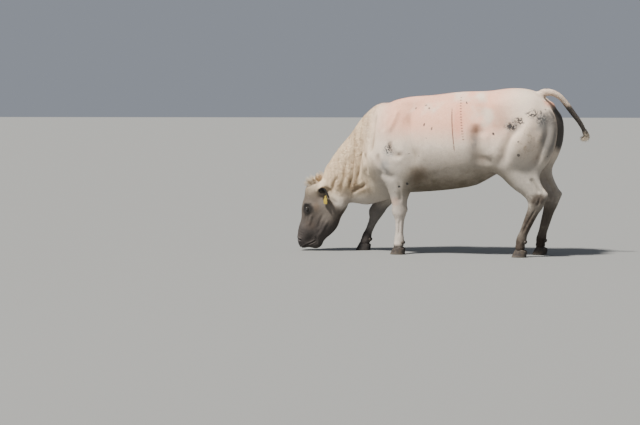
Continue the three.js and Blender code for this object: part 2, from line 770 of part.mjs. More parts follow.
// The tuft on the poll: flat locks in rows that overlap and fall forwards
function pollTuft() {
  const draw = drawer(11);
  const locks = [];
  for (let row = 0; row < 3; row += 1)
    for (let n = 0; n < 8; n += 1) {
      const y = (n - 3.5) * 15 + draw() * 3;
      const x = -1226 + row * 34 + draw() * 4;
      const z = 640 - Math.abs(y) * 0.3 - (row === 0 ? 20 : 0);
      const way = V(-0.8 + row * 0.3 + draw() * 0.14, y / 120 + draw() * 0.14, 0.9).normalize();
      const bend = V(-8 + draw() * 4, draw() * 7, -9);
      locks.push(lock(V(x, y, z), way, 46 + draw() * 8, 14, bend));
    }
  return locks.reduce((a, b) => a.add(b));
}

// The switch: locks that leave the end of the tail and curl back
function tailSwitch() {
  const draw = drawer(7);
  const end = TAIL.at(-1);
  const before = TAIL.at(-2);
  const way = end.clone().sub(before).normalize();
  const start = end.clone().addScaledVector(way, GAP);
  const near = (x, y, z) => start.clone().add(V(x, y, z));
  const route = [start, start.clone().addScaledVector(way, 26), near(-22, 10, -48), near(-58, 14, -58)];
  const core = tube(route, [18, 19, 14, 4], { sides: 9, steps: 6 });
  const locks = Array.from({ length: 8 }, (_, n) => {
    const angle = (2 * Math.PI * n) / 8;
    const root = start.clone().addScaledVector(way, 22 + draw() * 5);
    root.add(V(Math.cos(angle) * 9, Math.sin(angle) * 9, 0));
    const aim = way.clone().add(V(-0.35 + draw() * 0.3, Math.sin(angle) * 0.35, 0)).normalize();
    const out = (far, x, y, z) => root.clone().addScaledVector(aim, far).add(V(x, y, z));
    const tip = out(58, -58 - draw() * 12, draw() * 12, -4);
    const bent = [root, out(30, 0, 0, 0), out(48, -18, 0, -6), tip];
    return tube(bent, [8, 9, 7, 1.4], { sides: 4, steps: 4, flat: 0.6 });
  });
  return locks.reduce((a, b) => a.add(b), core);
}

const group = new THREE.Group();

function addNode(name, shape, material) {
  const mesh = shape.getMesh();
  const geometry = new THREE.BufferGeometry();
  const position = new Float32Array(mesh.numVert * 3);
  for (let i = 0; i < mesh.numVert; i += 1) {
    const at = i * mesh.numProp;
    position.set(mesh.vertProperties.subarray(at, at + 3), i * 3);
  }
  geometry.setAttribute("position", new THREE.BufferAttribute(position, 3));
  geometry.setIndex(new THREE.BufferAttribute(mesh.triVerts, 1));
  geometry.computeVertexNormals();
  const node = new THREE.Mesh(geometry, material);
  node.name = name;
  group.add(node);
}

const finish = (color, roughness) =>
  new THREE.MeshStandardMaterial({ color, roughness, metalness: 0 });
const coat = finish(0xe8ddd0, 0.9);
const darkCoat = finish(0x2b2724, 0.9);
const horn = finish(0x3a322c, 0.6);
const eye = finish(0x120d0a, 0.1);
const tagPlastic = finish(0xd8b21c, 0.5);

const sideName = (side) => (side < 0 ? "left" : "right");

// The four teats of the udder
function teats() {
  const spots = [-1, 1].flatMap((side) => [620, 700].map((x) => V(x, side * 34, 706)));
  const teat = (root) => {
    const route = [root, root.clone().add(V(2, 0, -34)), root.clone().add(V(2, 0, -66))];
    return tube(route, [17, 15, 9], { sides: 8, steps: 4 });
  };
  return spots.map(teat).reduce((a, b) => a.add(b));
}

// Trunk, neck and upper legs in one piece, then parted
const across = lines([[0, 28], [60, 44], [140, 58], [420, 54]]);
const body = meshField(
  flesh,
  lines([[-1240, 50], [-700, 54], [-450, 56], [-150, 90], [300, 90], [480, 60], [900, 50], [1130, 42]]),
  [...across.slice(1).map((y) => -y).reverse(), ...across],
  lines([[340, 44], [600, 52], [800, 60], [1150, 64], [1350, 48], [1500, 42]]),
);
const legSpaces = Object.values(LEGS).map((leg) => legSpace(leg, -GAP));
const trunkAndNeck = body.subtract(legSpaces.reduce((a, b) => a.add(b)));
const tailSocket = tube(TAIL, TAIL_GIRTH, { sides: 12, steps: 16, grow: GAP + 0.2 });
const torso = trunkAndNeck.intersect(behind(NECK_CUT)).add(teats()).subtract(tailSocket);
const neck = trunkAndNeck.intersect(ahead(NECK_CUT, GAP)).intersect(behind(HEAD_CUT));
addNode("torso", biggest(torso), coat);
addNode("neck", biggest(neck), coat);

// Head, eyes, ears and ear tags
const headBone = new THREE.QuadraticBezierCurve3(
  V(-955, 0, 550),
  V(-1125, 0, 389),
  V(-1284, 0, 112),
);
const headSteps = 24;
const headRings = Array.from({ length: headSteps + 1 }, (_, n) => {
  const t = n / headSteps;
  return { at: headBone.getPoint(t), way: headBone.getTangent(t) };
});
for (const lean of [0.2, 0.42, 0.64, 0.86, 1.08, 1.32]) {
  headRings.push({ ...headRings[headSteps], lean });
}
let head = skin(flesh, headRings, 32, 330).intersect(ahead(HEAD_CUT, GAP));
for (const side of [-1, 1]) {
  const { root, along, length } = earAxes(side);
  const earCut = { at: root.clone().addScaledVector(along, length * EAR_START - GAP), normal: along };
  const reach = new THREE.Matrix4().setPosition(turned(EAR.tip, side).lerp(root, 0.4));
  const earSpace = ahead(earCut).intersect(solidOf(new THREE.SphereGeometry(90, 12, 8), reach));
  const eyeSpace = eyeball(side, GAP).add(lidOpening(side));
  head = head.subtract(earSpace).subtract(eyeSpace).subtract(nostril(side));
  addNode("eye_" + sideName(side), eyeball(side), eye);
  addNode("ear_" + sideName(side), ear(side), darkCoat);
  const { stud, sheet } = earTag(side);
  addNode("ear_tag_" + sideName(side), biggest(stud.add(sheet).subtract(ear(side))), tagPlastic);
}
addNode("head", biggest(head.subtract(mouthSlit()).add(pollTuft())), coat);

// Legs and claws
for (const [name, leg] of Object.entries(LEGS)) {
  const [kind, sideWord] = name.split("_");
  const joint = leg.fore ? leg.knee.z + 78 : leg.hock.z + 104;
  const level = { at: V(0, 0, joint), normal: V(0, 0, 1) };
  const upper = body.intersect(legSpace(leg, 0)).intersect(ahead(level, GAP));
  addNode(`${kind}_upper_${sideWord}`, biggest(upper), coat);

  const top = leg.fore ? between(leg.elbow, leg.knee, 0.4) : between(leg.stifle, leg.hock, 0.4);
  const bend = leg.fore ? leg.knee : leg.hock.clone().add(V(14, 0, 0));
  const bones = [top, bend, leg.fetlock, leg.toe];
  const boneAt = stations(bones.map((bone) => [-bone.z, bone.x, bone.y]));
  const steps = Math.round(joint / 38);
  const rings = Array.from({ length: steps }, (_, n) => {
    const height = joint + 20 - (n * joint) / (steps - 1);
    const [x, y] = boneAt(-height);
    return { at: V(x, y * leg.side, height), way: V(0, 0, -1) };
  });
  const shaft = skin(flesh, rings, 14, 150);
  const lower = shaft.intersect(behind(level)).intersect(ahead(coronet(leg), GAP));
  const sockets = [true, false].map((inner) => dewclaw(leg, inner, GAP)).reduce((a, b) => a.add(b));
  addNode(`${kind}_lower_${sideWord}`, biggest(lower.subtract(sockets)), coat);
  for (const inner of [true, false]) {
    const place = `${leg.fore ? "fore" : "hind"}_${sideWord}_${inner ? "inner" : "outer"}`;
    addNode("claw_" + place, biggest(claw(leg, inner).intersect(behind(coronet(leg)))), horn);
    addNode("dewclaw_" + place, dewclaw(leg, inner), horn);
  }
}

// Tail, in two lengths, and its switch
const tailFoot = { at: TAIL[0], normal: TAIL[1].clone().sub(TAIL[0]) };
const tail = tube(TAIL, TAIL_GIRTH, { sides: 12, steps: 16 }).intersect(ahead(tailFoot, 3));
const tailWay = TAIL[5].clone().sub(TAIL[3]).normalize();
const tailHalf = { at: TAIL[4], normal: tailWay };
addNode("tail_root", biggest(tail.intersect(behind(tailHalf))), coat);
addNode("tail_end", biggest(tail.intersect(ahead(tailHalf, GAP))), darkCoat);
addNode("tail_switch", biggest(tailSwitch()), coat);

// Frame: origin on the floor under the middle of the box of the whole animal
const box = new THREE.Box3().setFromObject(group);
const middle = box.getCenter(V(0, 0, 0));
for (const node of group.children) node.geometry.translate(-middle.x, -middle.y, -box.min.z);

export default group;
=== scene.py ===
# %% [markdown]
# A life-size Belgian Blue cow, grazing, dressed over the solids of the frame.
# The solids give every place and size. This file gives the looks: one skin over
# all the flesh, a short coat of small tufts, eyes, claws, ear tags and the tail.
# Each step says what the piece is on the real cow and why it is made this way.

# %% Load the frame
import json
import math
import bpy
import numpy as np
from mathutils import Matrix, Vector
from mathutils.bvhtree import BVHTree
from mathutils.kdtree import KDTree

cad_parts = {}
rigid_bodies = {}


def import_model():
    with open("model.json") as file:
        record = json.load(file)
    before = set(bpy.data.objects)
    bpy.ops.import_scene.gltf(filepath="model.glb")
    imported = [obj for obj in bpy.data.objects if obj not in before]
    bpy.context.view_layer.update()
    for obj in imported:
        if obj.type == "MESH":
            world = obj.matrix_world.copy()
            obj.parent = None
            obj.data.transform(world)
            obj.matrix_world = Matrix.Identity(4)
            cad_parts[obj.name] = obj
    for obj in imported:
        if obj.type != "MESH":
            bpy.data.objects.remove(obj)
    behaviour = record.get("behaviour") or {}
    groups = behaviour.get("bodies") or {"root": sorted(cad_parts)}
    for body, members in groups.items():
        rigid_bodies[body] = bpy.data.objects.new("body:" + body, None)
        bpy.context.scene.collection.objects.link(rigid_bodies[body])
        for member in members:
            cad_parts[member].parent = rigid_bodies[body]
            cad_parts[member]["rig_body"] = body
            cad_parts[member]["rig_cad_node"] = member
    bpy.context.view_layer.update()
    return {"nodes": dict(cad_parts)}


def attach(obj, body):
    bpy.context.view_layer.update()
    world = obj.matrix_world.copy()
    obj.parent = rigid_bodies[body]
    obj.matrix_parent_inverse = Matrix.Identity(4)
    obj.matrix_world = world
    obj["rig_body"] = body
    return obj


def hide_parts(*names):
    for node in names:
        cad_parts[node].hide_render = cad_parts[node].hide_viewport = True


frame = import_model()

nodes = frame["nodes"]

# %% [markdown]
# The camera stands where the photographer stood: about sixteen metres off her
# near side, a little ahead of square, eye height, looking slightly down. A long
# lens keeps her flat. She stands in the right half of the picture.

# %% Camera
camera_data = bpy.data.cameras.new("photo_camera")
camera_data.lens = 100
camera_data.sensor_width = 36
camera_data.clip_end = 1000
camera = bpy.data.objects.new("photo_camera", camera_data)
bpy.context.scene.collection.objects.link(camera)
camera.location = (3.8695, -15.3307, 1.270)
camera.rotation_euler = (math.radians(86.72), 0, math.radians(17.96))
bpy.context.scene.camera = camera
print("camera at", [round(v, 2) for v in camera.location])

# %% [markdown]
# The floor is a plain pale sheet. A soft sun stands very high, a little to the
# near side and ahead of her. What faces up is bright, and what hangs straight
# down, such as the face, the rear and the belly, is in shade. A pale sky fills it.

# %% Floor and light
bpy.ops.object.select_all(action="DESELECT")
bpy.ops.mesh.primitive_plane_add(size=600, location=(0, 0, 0))
floor = bpy.context.object
floor.name = "floor"
floor_paint = bpy.data.materials.new("floor_paint")
floor_paint.use_nodes = True
floor_shader = floor_paint.node_tree.nodes["Principled BSDF"].inputs
floor_shader["Base Color"].default_value = (0.22, 0.225, 0.22, 1)
floor_shader["Roughness"].default_value = 0.9
floor.data.materials.append(floor_paint)


def lamp(name, kind, place, target, size, power, colour):
    """A sun has its size in degrees, a soft box in metres."""
    light = bpy.data.lights.new(name, kind)
    light.energy = power
    light.color = colour
    if kind == "SUN":
        light.angle = math.radians(size)
    else:
        light.shape = "DISK"
        light.size = size
    holder = bpy.data.objects.new(name, light)
    bpy.context.scene.collection.objects.link(holder)
    holder.location = place
    aim = Vector(target) - Vector(place)
    holder.rotation_euler = aim.to_track_quat("-Z", "Y").to_euler()


lamp("sun", "SUN", (-2.6, -4.4, 9.4), (0, 0, 0.9), 7, 8.4, (1.0, 0.955, 0.89))
lamp("fill_softbox", "AREA", (-2.0, -9.0, 3.2), (0, 0, 0.7), 4.0, 20, (0.93, 0.96, 1.0))
sky = bpy.data.worlds.new("pale_sky")
sky.use_nodes = True
sky_light = sky.node_tree.nodes["Background"].inputs
sky_light["Color"].default_value = (0.74, 0.80, 0.92, 1)
sky_light["Strength"].default_value = 0.36
bpy.context.scene.world = sky
print("floor and", len(bpy.data.lights), "lamps")

# %% [markdown]
# A few helpers for meshes. Points are given in millimetres, as the solids' own
# source gives them, and turned into metres. Large meshes are moved as arrays,
# because a hand-made loop over a hundred thousand points would take minutes.

# %% Mesh helpers
MM = 0.001


def mm(*point):
    return np.array(point, float) * MM


def mode(name):
    bpy.ops.object.mode_set(mode=name)


def only(piece):
    bpy.ops.object.select_all(action="DESELECT")
    piece.select_set(True)
    bpy.context.view_layer.objects.active = piece


def read(items, key, wide=3, kind=float):
    out = np.empty(len(items) * wide, kind)
    items.foreach_get(key, out)
    return out.reshape(-1, wide)


def points_of(piece):
    return read(piece.data.vertices, "co")


def normals_of(piece):
    return read(piece.data.vertex_normals, "vector")


def edges_of(piece):
    return read(piece.data.edges, "vertices", 2, np.int64)


def lengths(vectors):
    return np.linalg.norm(vectors, axis=1)


def place_points(piece, points):
    piece.data.vertices.foreach_set("co", np.ascontiguousarray(points).ravel())
    piece.data.update()


def select_points(piece, chosen):
    only(piece)
    mode("EDIT")
    bpy.ops.mesh.select_mode(type="VERT")
    bpy.ops.mesh.select_all(action="DESELECT")
    mode("OBJECT")
    piece.data.vertices.foreach_set("select", np.asarray(chosen, bool))
    mode("EDIT")


def apply_modifier(piece, kind, **settings):
    only(piece)
    modifier = piece.modifiers.new(kind.lower(), kind)
    for key, value in settings.items():
        setattr(modifier, key, value)
    bpy.ops.object.modifier_apply(modifier=modifier.name)


def copy_of(name):
    piece = nodes[name].copy()
    piece.data = nodes[name].data.copy()
    piece.parent = None
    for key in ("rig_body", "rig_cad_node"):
        if key in piece:
            del piece[key]
    bpy.context.scene.collection.objects.link(piece)
    only(piece)
    mode("EDIT")
    bpy.ops.mesh.select_all(action="SELECT")
    bpy.ops.mesh.remove_doubles(threshold=1e-5)
    mode("OBJECT")
    return piece


def joined(name, pieces):
    only(pieces[0])
    for piece in pieces:
        piece.select_set(True)
    bpy.ops.object.join()
    whole = bpy.context.object
    whole.name = name
    whole.data.name = name
    return whole


def grow(piece, distance):
    place_points(piece, points_of(piece) + normals_of(piece) * distance)


def finish_piece(piece, slot, *replaced):
    only(piece)
    bpy.ops.object.shade_smooth()
    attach(piece, "root")
    if replaced:
        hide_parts(*replaced)
    triangles = sum(len(face.vertices) - 2 for face in piece.data.polygons)
    print(piece.name, "triangles", triangles)


# %% [markdown]
# The skin is one closed surface over torso, neck, head, legs and tail, so no
# seam shows where the solids part. Copies of those solids are swollen by a hair,
# joined, and remade as one shell by a voxel remesh. The flat facets of the
# solids are then smoothed away, strongly on the big muscles and gently on the
# thin legs and the head, which would shrink.

# %% Join the flesh
LEG_NAMES = [f"{kind}_{half}_{side}" for kind in ("foreleg", "hindleg")
             for half in ("upper", "lower") for side in ("left", "right")]
FLESH = ["torso", "neck", "head", "tail_root", "tail_end", *LEG_NAMES]
EARS = ["ear_left", "ear_right"]
skin = joined("skin", [copy_of(name) for name in FLESH])
BRIDGE = 1.2 * MM  # swells each solid over the gap to the next
grow(skin, BRIDGE)
apply_modifier(skin, "REMESH", mode="VOXEL", voxel_size=9 * MM)
print("first shell", len(skin.data.polygons), "faces")

# %% Which solid lies nearest
region_tree = KDTree(sum(len(nodes[name].data.vertices) for name in FLESH + EARS))
region_names = FLESH + EARS
region_of_entry = []
for index, name in enumerate(region_names):
    for vertex in nodes[name].data.vertices:
        region_tree.insert(vertex.co, len(region_of_entry))
        region_of_entry.append(index)
region_tree.balance()


def regions(points):
    return np.array([region_of_entry[region_tree.find(p)[1]] for p in points])


def in_regions(found, *words):
    wanted = [i for i, name in enumerate(region_names) if any(word in name for word in words)]
    return np.isin(found, wanted)


def spread(values, edges, times, share=1.0):
    """Averages values over neighbouring points, a number of times."""
    values = np.array(values, float)
    flat = values.reshape(len(values), -1)
    count = len(flat)
    degree = np.bincount(edges.ravel(), minlength=count)[:, None]
    share = np.broadcast_to(np.asarray(share, float).reshape(-1, 1), (count, 1))
    a, b = edges.T
    for _ in range(times):
        total = np.stack([np.bincount(a, flat[b, k], count) + np.bincount(b, flat[a, k], count)
                          for k in range(flat.shape[1])], axis=1)
        flat = flat + (total / np.maximum(degree, 1) - flat) * share * 0.6
    return flat.reshape(values.shape)


found = regions(points_of(skin))
edges = edges_of(skin)
broad = in_regions(found, "torso", "neck").astype(float)
broad[in_regions(found, "upper")] = 0.8
broad[points_of(skin)[:, 2] < 0.62] = 0.0
broad = spread(broad, edges, 20)
shell = spread(points_of(skin), edges, 46, broad)
shell = spread(shell, edges, 4, 1 - 0.6 * broad)
place_points(skin, shell)
print("smoothed", len(shell), "points")

# %% [markdown]
# The poll of the solid carries locks of hair, and its eye holes and lips are cut
# coarsely. The skin needs the bare form under them. The top of the skull is
# pressed down on an egg, and a ball the size of the closed lids fills each
# socket, to be opened again finely later on. A second, finer remesh makes it one
# surface. The ears are too thin for it: they are rounded with a subdivision
# surface instead, joined by a boolean, and smoothed only where they grow out.

# %% Bare skull, filled sockets, ears
SHIFT = 47.15  # from the solids' own source to the middle of their box
EYE_AT = mm(-1232 + SHIFT, 93, 388)
EYE_RADIUS = 21 * MM
EYE_OUT = Vector((-0.42, 0.9, 0.08)).normalized()
SIDES = (-1, 1)

points = points_of(skin)
skull_middle, skull_size = mm(-1168 + SHIFT, 0, 548), mm(92, 94, 96)
offset = (points - skull_middle) / skull_size
reach = lengths(offset)
on_poll = (points[:, 2] > 0.585) & (points[:, 0] < -1.045) & (reach > 1)
on_poll &= np.abs(points[:, 1]) < 0.085
pressed = skull_middle + offset / reach[:, None] * skull_size
points[on_poll] = pressed[on_poll]
place_points(skin, spread(points, edges_of(skin), 3, on_poll.astype(float)))

LID = 2.5 * MM
fillers = []
for side in SIDES:
    bpy.ops.object.select_all(action="DESELECT")
    place = Vector((EYE_AT[0], EYE_AT[1] * side, EYE_AT[2]))
    bpy.ops.mesh.primitive_uv_sphere_add(
        segments=32, ring_count=20, radius=EYE_RADIUS + LID, location=place)
    bpy.ops.object.transform_apply(location=True, rotation=False, scale=False)
    fillers.append(bpy.context.object)
ears = []
for name in EARS:
    ear = copy_of(name)
    place_points(ear, spread(points_of(ear), edges_of(ear), 1, 0.5))
    apply_modifier(ear, "SUBSURF", levels=2, render_levels=2)
    grow(ear, 1.6 * MM)
    ears.append(ear)
skin = joined("skin", [skin, *fillers])
apply_modifier(skin, "REMESH", mode="VOXEL", voxel_size=5.6 * MM)
place_points(skin, spread(points_of(skin), edges_of(skin), 5))
for ear in ears:
    apply_modifier(skin, "BOOLEAN", operation="UNION", solver="EXACT", object=ear)
    bpy.data.objects.remove(ear)
found = regions(points_of(skin))
edges = edges_of(skin)
ear_root = spread(in_regions(found, "ear").astype(float), edges, 8)
ear_root = np.clip(1 - np.abs(ear_root - 0.5) * 2.4, 0, 1)
place_points(skin, spread(points_of(skin), edges, 8, ear_root))
print("fine shell", len(skin.data.polygons), "faces")

# %% [markdown]
# The coat has depth, so the skin lies that much inside the solids: most on the
# neck, least on face, ears and feet. The amount is spread over the border
# between two parts, so that no step is left.

# %% Sink the skin by the depth of the coat
COAT_DEPTH = {"neck": 9, "head": 3.5, "lower": 3.2, "ear": 2.2, "tail_end": 2.2}
depth = np.full(len(found), 4.5 * MM)
for word, value in COAT_DEPTH.items():
    depth[in_regions(found, word)] = value * MM
depth = spread(depth, edges, 25)
place_points(skin, points_of(skin) - normals_of(skin) * depth[:, None])
print("coat depth", round(depth.min() / MM, 1), "to", round(depth.max() / MM, 1), "mm")

# %% [markdown]
# Muscles, folds and bones are then modelled as a sculptor would with a loaded
# brush. A stroke follows a path on the skin and pushes it in or out along its
# normals, with a soft profile. A swelling is an egg-shaped brush. The paths
# follow the grooves that the picture shows on her near side, and both sides of
# her get them: the second number of a place is its distance from her middle.

# %% Brushes
class Clay:
    """The skin as arrays, with brushes that move it."""

    def __init__(self, piece, shift=0.0):
        self.piece = piece
        self.shift = shift
        self.sides = SIDES
        self.points = points_of(piece)
        self.normals = normals_of(piece)
        self.tree = KDTree(len(self.points[::4]))
        for i, p in enumerate(self.points[::4]):
            self.tree.insert(p, i * 4)
        self.tree.balance()
        self.move = np.zeros(len(self.points))

    def sides_for(self, distances):
        """What lies in the middle is done once."""
        return self.sides if np.any(distances) else (1,)

    def on_skin(self, path, side):
        """The path in even small steps, laid on the skin."""
        path = (path + np.array((self.shift, 0, 0))) * MM
        path[:, 1] = np.abs(path[:, 1]) * side
        along = np.concatenate([[0], np.cumsum(lengths(np.diff(path, axis=0)))])
        steps = np.linspace(0, along[-1], max(3, int(along[-1] / 0.014)))
        fine = np.stack([np.interp(steps, along, path[:, k]) for k in range(3)], axis=1)
        laid = np.array([self.tree.find(p)[0] for p in fine])
        for _ in range(3):
            laid[1:-1] = (laid[:-2] + laid[1:-1] * 2 + laid[2:]) / 4
        return laid

    def stroke(self, width, height, rim, *path, fade=0.25):
        """A groove where height is negative, a ridge where it is positive."""
        path = np.array(path, float)
        for side in self.sides_for(path[:, 1]):
            laid = self.on_skin(path, side)
            wide = width * MM
            low, high = laid.min(0) - wide * 3.2, laid.max(0) + wide * 3.2
            near = np.flatnonzero(((self.points > low) & (self.points < high)).all(axis=1))
            here = self.points[near]
            nearest = np.full(len(near), 9.0)
            share = np.zeros(len(near))
            for n in range(len(laid) - 1):
                a, b = laid[n], laid[n + 1]
                ab = b - a
                t = np.clip(((here - a) @ ab) / max(ab @ ab, 1e-12), 0, 1)
                d = lengths(here - a - t[:, None] * ab)
                closer = d < nearest
                nearest[closer] = d[closer]
                share[closer] = (n + t[closer]) / (len(laid) - 1)
            ends = np.clip(np.minimum(share, 1 - share) / fade, 0, 1)
            ends = ends * ends * (3 - 2 * ends)
            core = np.exp(-((nearest / wide) ** 2))
            lip = np.exp(-(((nearest - 2.0 * wide) / wide) ** 2))
            self.move[near] += height * MM * (core - rim * lip) * ends

    def swell(self, height, centre, radii):
        for side in self.sides_for(centre[1]):
            c = mm(centre[0] + self.shift, abs(centre[1]) * side, centre[2])
            d = lengths((self.points - c) / (np.array(radii, float) * MM))
            self.move += height * MM * np.exp(-(d ** 2))

    def work(self, *rows):
        """Strokes are width, height, rim, path. Swellings are height, centre, radii."""
        for row in rows:
            if len(row) == 3:
                self.swell(*row)
            else:
                self.stroke(*row)

    def done(self, blur=2):
        move = spread(self.move, edges_of(self.piece), blur)
        place_points(self.piece, self.points + self.normals * move[:, None])
        print("moved by", round(move.min() / MM, 1), "to", round(move.max() / MM, 1), "mm")


# %% Muscles of the hindquarters
clay = Clay(skin)
clay.work(
    (38, -21, 0.15, (838, 300, 1235), (794, 353, 1135), (700, 345, 1010), (663, 328, 870), (612, 292, 765)),
    (40, -21, 0.1, (1000, 225, 1275), (1040, 245, 1140), (1022, 264, 1016), (945, 256, 865), (858, 250, 770)),
    (52, -34, 0.2, (432, 335, 1180), (428, 350, 1040), (452, 318, 880), (520, 285, 770)),
    (30, 13, 0, (505, 330, 1090), (512, 325, 960), (545, 300, 840)),
    (12, (610, 275, 1318), (70, 60, 50)),
    (-18, (470, 300, 1270), (120, 90, 90)),
    (9, (700, 300, 1210), (120, 80, 70)),
    (9, (820, 330, 1010), (110, 90, 190)),
    (-14, (980, 110, 1395), (60, 38, 40)),
    (9, (1010, 130, 1330), (36, 34, 40)),
    (7, (985, 215, 960), (60, 60, 130)),
)

# %% Shoulder, chest and ribs
clay.work(
    (46, -28, 0.15, (-215, 240, 1300), (-200, 300, 1160), (-172, 327, 1010), (-128, 337, 880),
     (-120, 315, 770)),
    (22, -15, 0.3, (-360, 300, 1010), (-345, 320, 930), (-290, 330, 880), (-215, 325, 880)),
    (22, -14, 0.3, (-470, 285, 900), (-450, 300, 800), (-400, 295, 720)),
    (30, -9, 0.3, (-470, 220, 760), (-380, 290, 705), (-290, 290, 690)),
    (32, -22, 0.3, (-520, 150, 1260), (-545, 215, 1120), (-545, 240, 980), (-520, 255, 860)),
    (22, 9, 0.2, (-300, 235, 1290), (-330, 270, 1180), (-372, 290, 1070)),
    (26, -9, 0.3, (-395, 225, 1290), (-420, 262, 1180), (-430, 285, 1070)),
    (14, (-330, 310, 800), (90, 70, 90)),
)
RIBS = ((-81, -1.2), (-34, -1.8), (46, -0.8), (85, -1.6), (163, -1.0), (217, -1.4))
for x, height in RIBS:
    clay.stroke(17, height, 0.4, (x - 30, 330, 1150), (x, 365, 1000), (x + 22, 360, 870), fade=0.45)
clay.work(
    (16, 5, 0.3, (-140, 60, 590), (60, 75, 600), (260, 80, 650), (420, 70, 720)),
    (4, (-60, 0, 590), (120, 60, 60)),
)

# %% Neck and throat folds
clay.work(
    (18, -11, 0.3, (-640, 165, 930), (-668, 170, 840), (-690, 140, 730), (-720, 100, 640)),
    (17, -11, 0.3, (-735, 140, 940), (-748, 138, 840), (-745, 125, 740), (-775, 105, 640), (-815, 78, 560)),
    (15, -7, 0.3, (-810, 130, 860), (-830, 128, 760), (-850, 110, 650), (-880, 85, 560)),
    (18, -13, 0.3, (-585, 200, 900), (-590, 215, 800), (-600, 180, 700)),
    (15, -8, 0.3, (-890, 122, 700), (-935, 118, 620), (-960, 100, 530)),
    (20, -5, 0.3, (-690, 60, 1170), (-700, 110, 1090), (-700, 140, 1000)),
    (18, -4, 0.3, (-800, 60, 1060), (-815, 105, 980), (-815, 125, 900)),
    (16, -12, 0.3, (-600, 95, 640), (-690, 70, 590), (-790, 50, 540)),
    (20, 6, 0, (-655, 150, 960), (-645, 185, 860), (-642, 180, 770)),
    (18, 4, 0, (-712, 140, 900), (-722, 130, 800), (-740, 105, 690)),
    (13, (-622, 180, 765), (48, 60, 60)),
)
clay.done()

# %% [markdown]
# Below knee and hock there is hardly any flesh: bones, joints and two tendons
# show under the skin. The strokes are set from each leg's own joints, because
# the four legs stand differently. The same values stand in the solids' source.

# %% Bones and tendons of the legs
LEGS = {
    "foreleg_left": ((-340, 215, 690), (-345, 185, 385), (-352, 182, 122), (-384, 184, 0)),
    "foreleg_right": ((-500, 212, 625), (-668, 188, 352), (-762, 186, 116), (-812, 188, 0)),
    "hindleg_left": ((560, 215, 880), (872, 180, 503), (742, 176, 148), (706, 178, 0)),
    "hindleg_right": ((590, 215, 875), (930, 180, 500), (850, 176, 140), (818, 178, 0)),
}


def leg_joints(name):
    side = -1 if name.endswith("left") else 1
    return side, [np.array((x + SHIFT, y * side, z), float) for x, y, z in LEGS[name]]


clay = Clay(skin)
for name in LEGS:
    side, (upper, joint, fetlock, toe) = leg_joints(name)
    clay.sides = (side,)
    cannon, pastern, shank = (joint + fetlock) / 2, (fetlock + toe) / 2, (upper + joint) / 2
    for face in (-1, 1):
        beside = np.array((0, face * 40, 0))
        clay.stroke(8, -5, 0.5, joint + beside + (12, 0, -70), cannon + beside * 0.8 + (9, 0, 0),
                    fetlock + beside * 0.8 + (8, 0, 38))
    clay.work(
        (9, -8, 0.3, fetlock + (-34, 0, -20), pastern + (-36, 0, 10), toe + (-40, 0, 74)),
        (10, -9, 0.3, fetlock + (46, 0, -30), pastern + (56, 0, 4)),
        (6, -2.6, 0.3, fetlock + (-30, -44, -34), fetlock + (-44, 0, -40), fetlock + (-30, 44, -34)),
    )
    for face in (-1, 1):
        clay.swell(5, fetlock + (34, face * 22, -12), (18, 15, 20))
        clay.swell(6, toe + (30, face * 30, 84), (60, 26, 20))
    if "fore" in name:
        clay.work(
            (6, joint + (-50, 0, 8), (30, 34, 36)),
            (9, joint + (58, 0, 14), (22, 26, 24)),
            (9, -4, 0.3, joint + (-60, -30, -46), joint + (-64, 0, -52), joint + (-60, 30, -46)),
            (14, -7, 0.3, upper + (10, 85, -30), shank + (24, 60, 0), joint + (26, 50, 70)),
            (14, -5, 0.3, upper + (10, -85, -30), shank + (24, -60, 0), joint + (26, -50, 70)),
        )
        continue
    for face in (-1, 1):
        at = joint + (0, face * 44, 0)
        clay.work(
            (17, -11, 0.3, at + (44, 0, 36), at + (10, 0, 110), at + (-52, 0, 200)),
            (4, at + (-8, 0, -8), (30, 20, 34)),
            (9, -5, 0.3, at + (40, 0, 20), at + (26, 0, -60)),
        )
    clay.work(
        (5, joint + (84, 0, 46), (26, 26, 30)),
        (10, -5, 0.3, joint + (-48, -30, 20), joint + (-56, 0, 24), joint + (-48, 30, 20)),
    )
clay.done(1)

# %% [markdown]
# The trunk is smooth and large, so it needs few faces, and the head is small and
# full of detail, so it needs many. Trunk and legs are decimated where they lie
# flat, the muzzle is subdivided once and the surroundings of the eyes twice.

# %% Faces where they are needed
def divide(chosen):
    select_points(skin, chosen)
    bpy.ops.mesh.subdivide(number_cuts=1, smoothness=0.6)
    mode("OBJECT")


for words, ratio in ((("torso", "neck", "upper"), 0.10), (("lower", "tail"), 0.5)):
    select_points(skin, in_regions(regions(points_of(skin)), *words))
    bpy.ops.mesh.decimate(ratio=ratio)
    mode("OBJECT")
muzzle_tip = mm(-1290 + SHIFT, 0, 100)
divide(lengths(points_of(skin) - muzzle_tip) < 0.125)
for reach in (0.052, 0.044):
    away = [lengths(points_of(skin) - EYE_AT * (1, side, 1)) for side in SIDES]
    divide(np.minimum(*away) < reach)
print("skin faces", len(skin.data.polygons))

# %% [markdown]
# The head of this breed is short and fine, with little flesh on it: the brow,
# the crest of the cheek bone, the edge of the jaw muscle and the folds behind
# the lips all show. The nostrils are comma-shaped pits in a bare, soft muzzle,
# and the mouth is a long thin line that turns up a little at its corner.

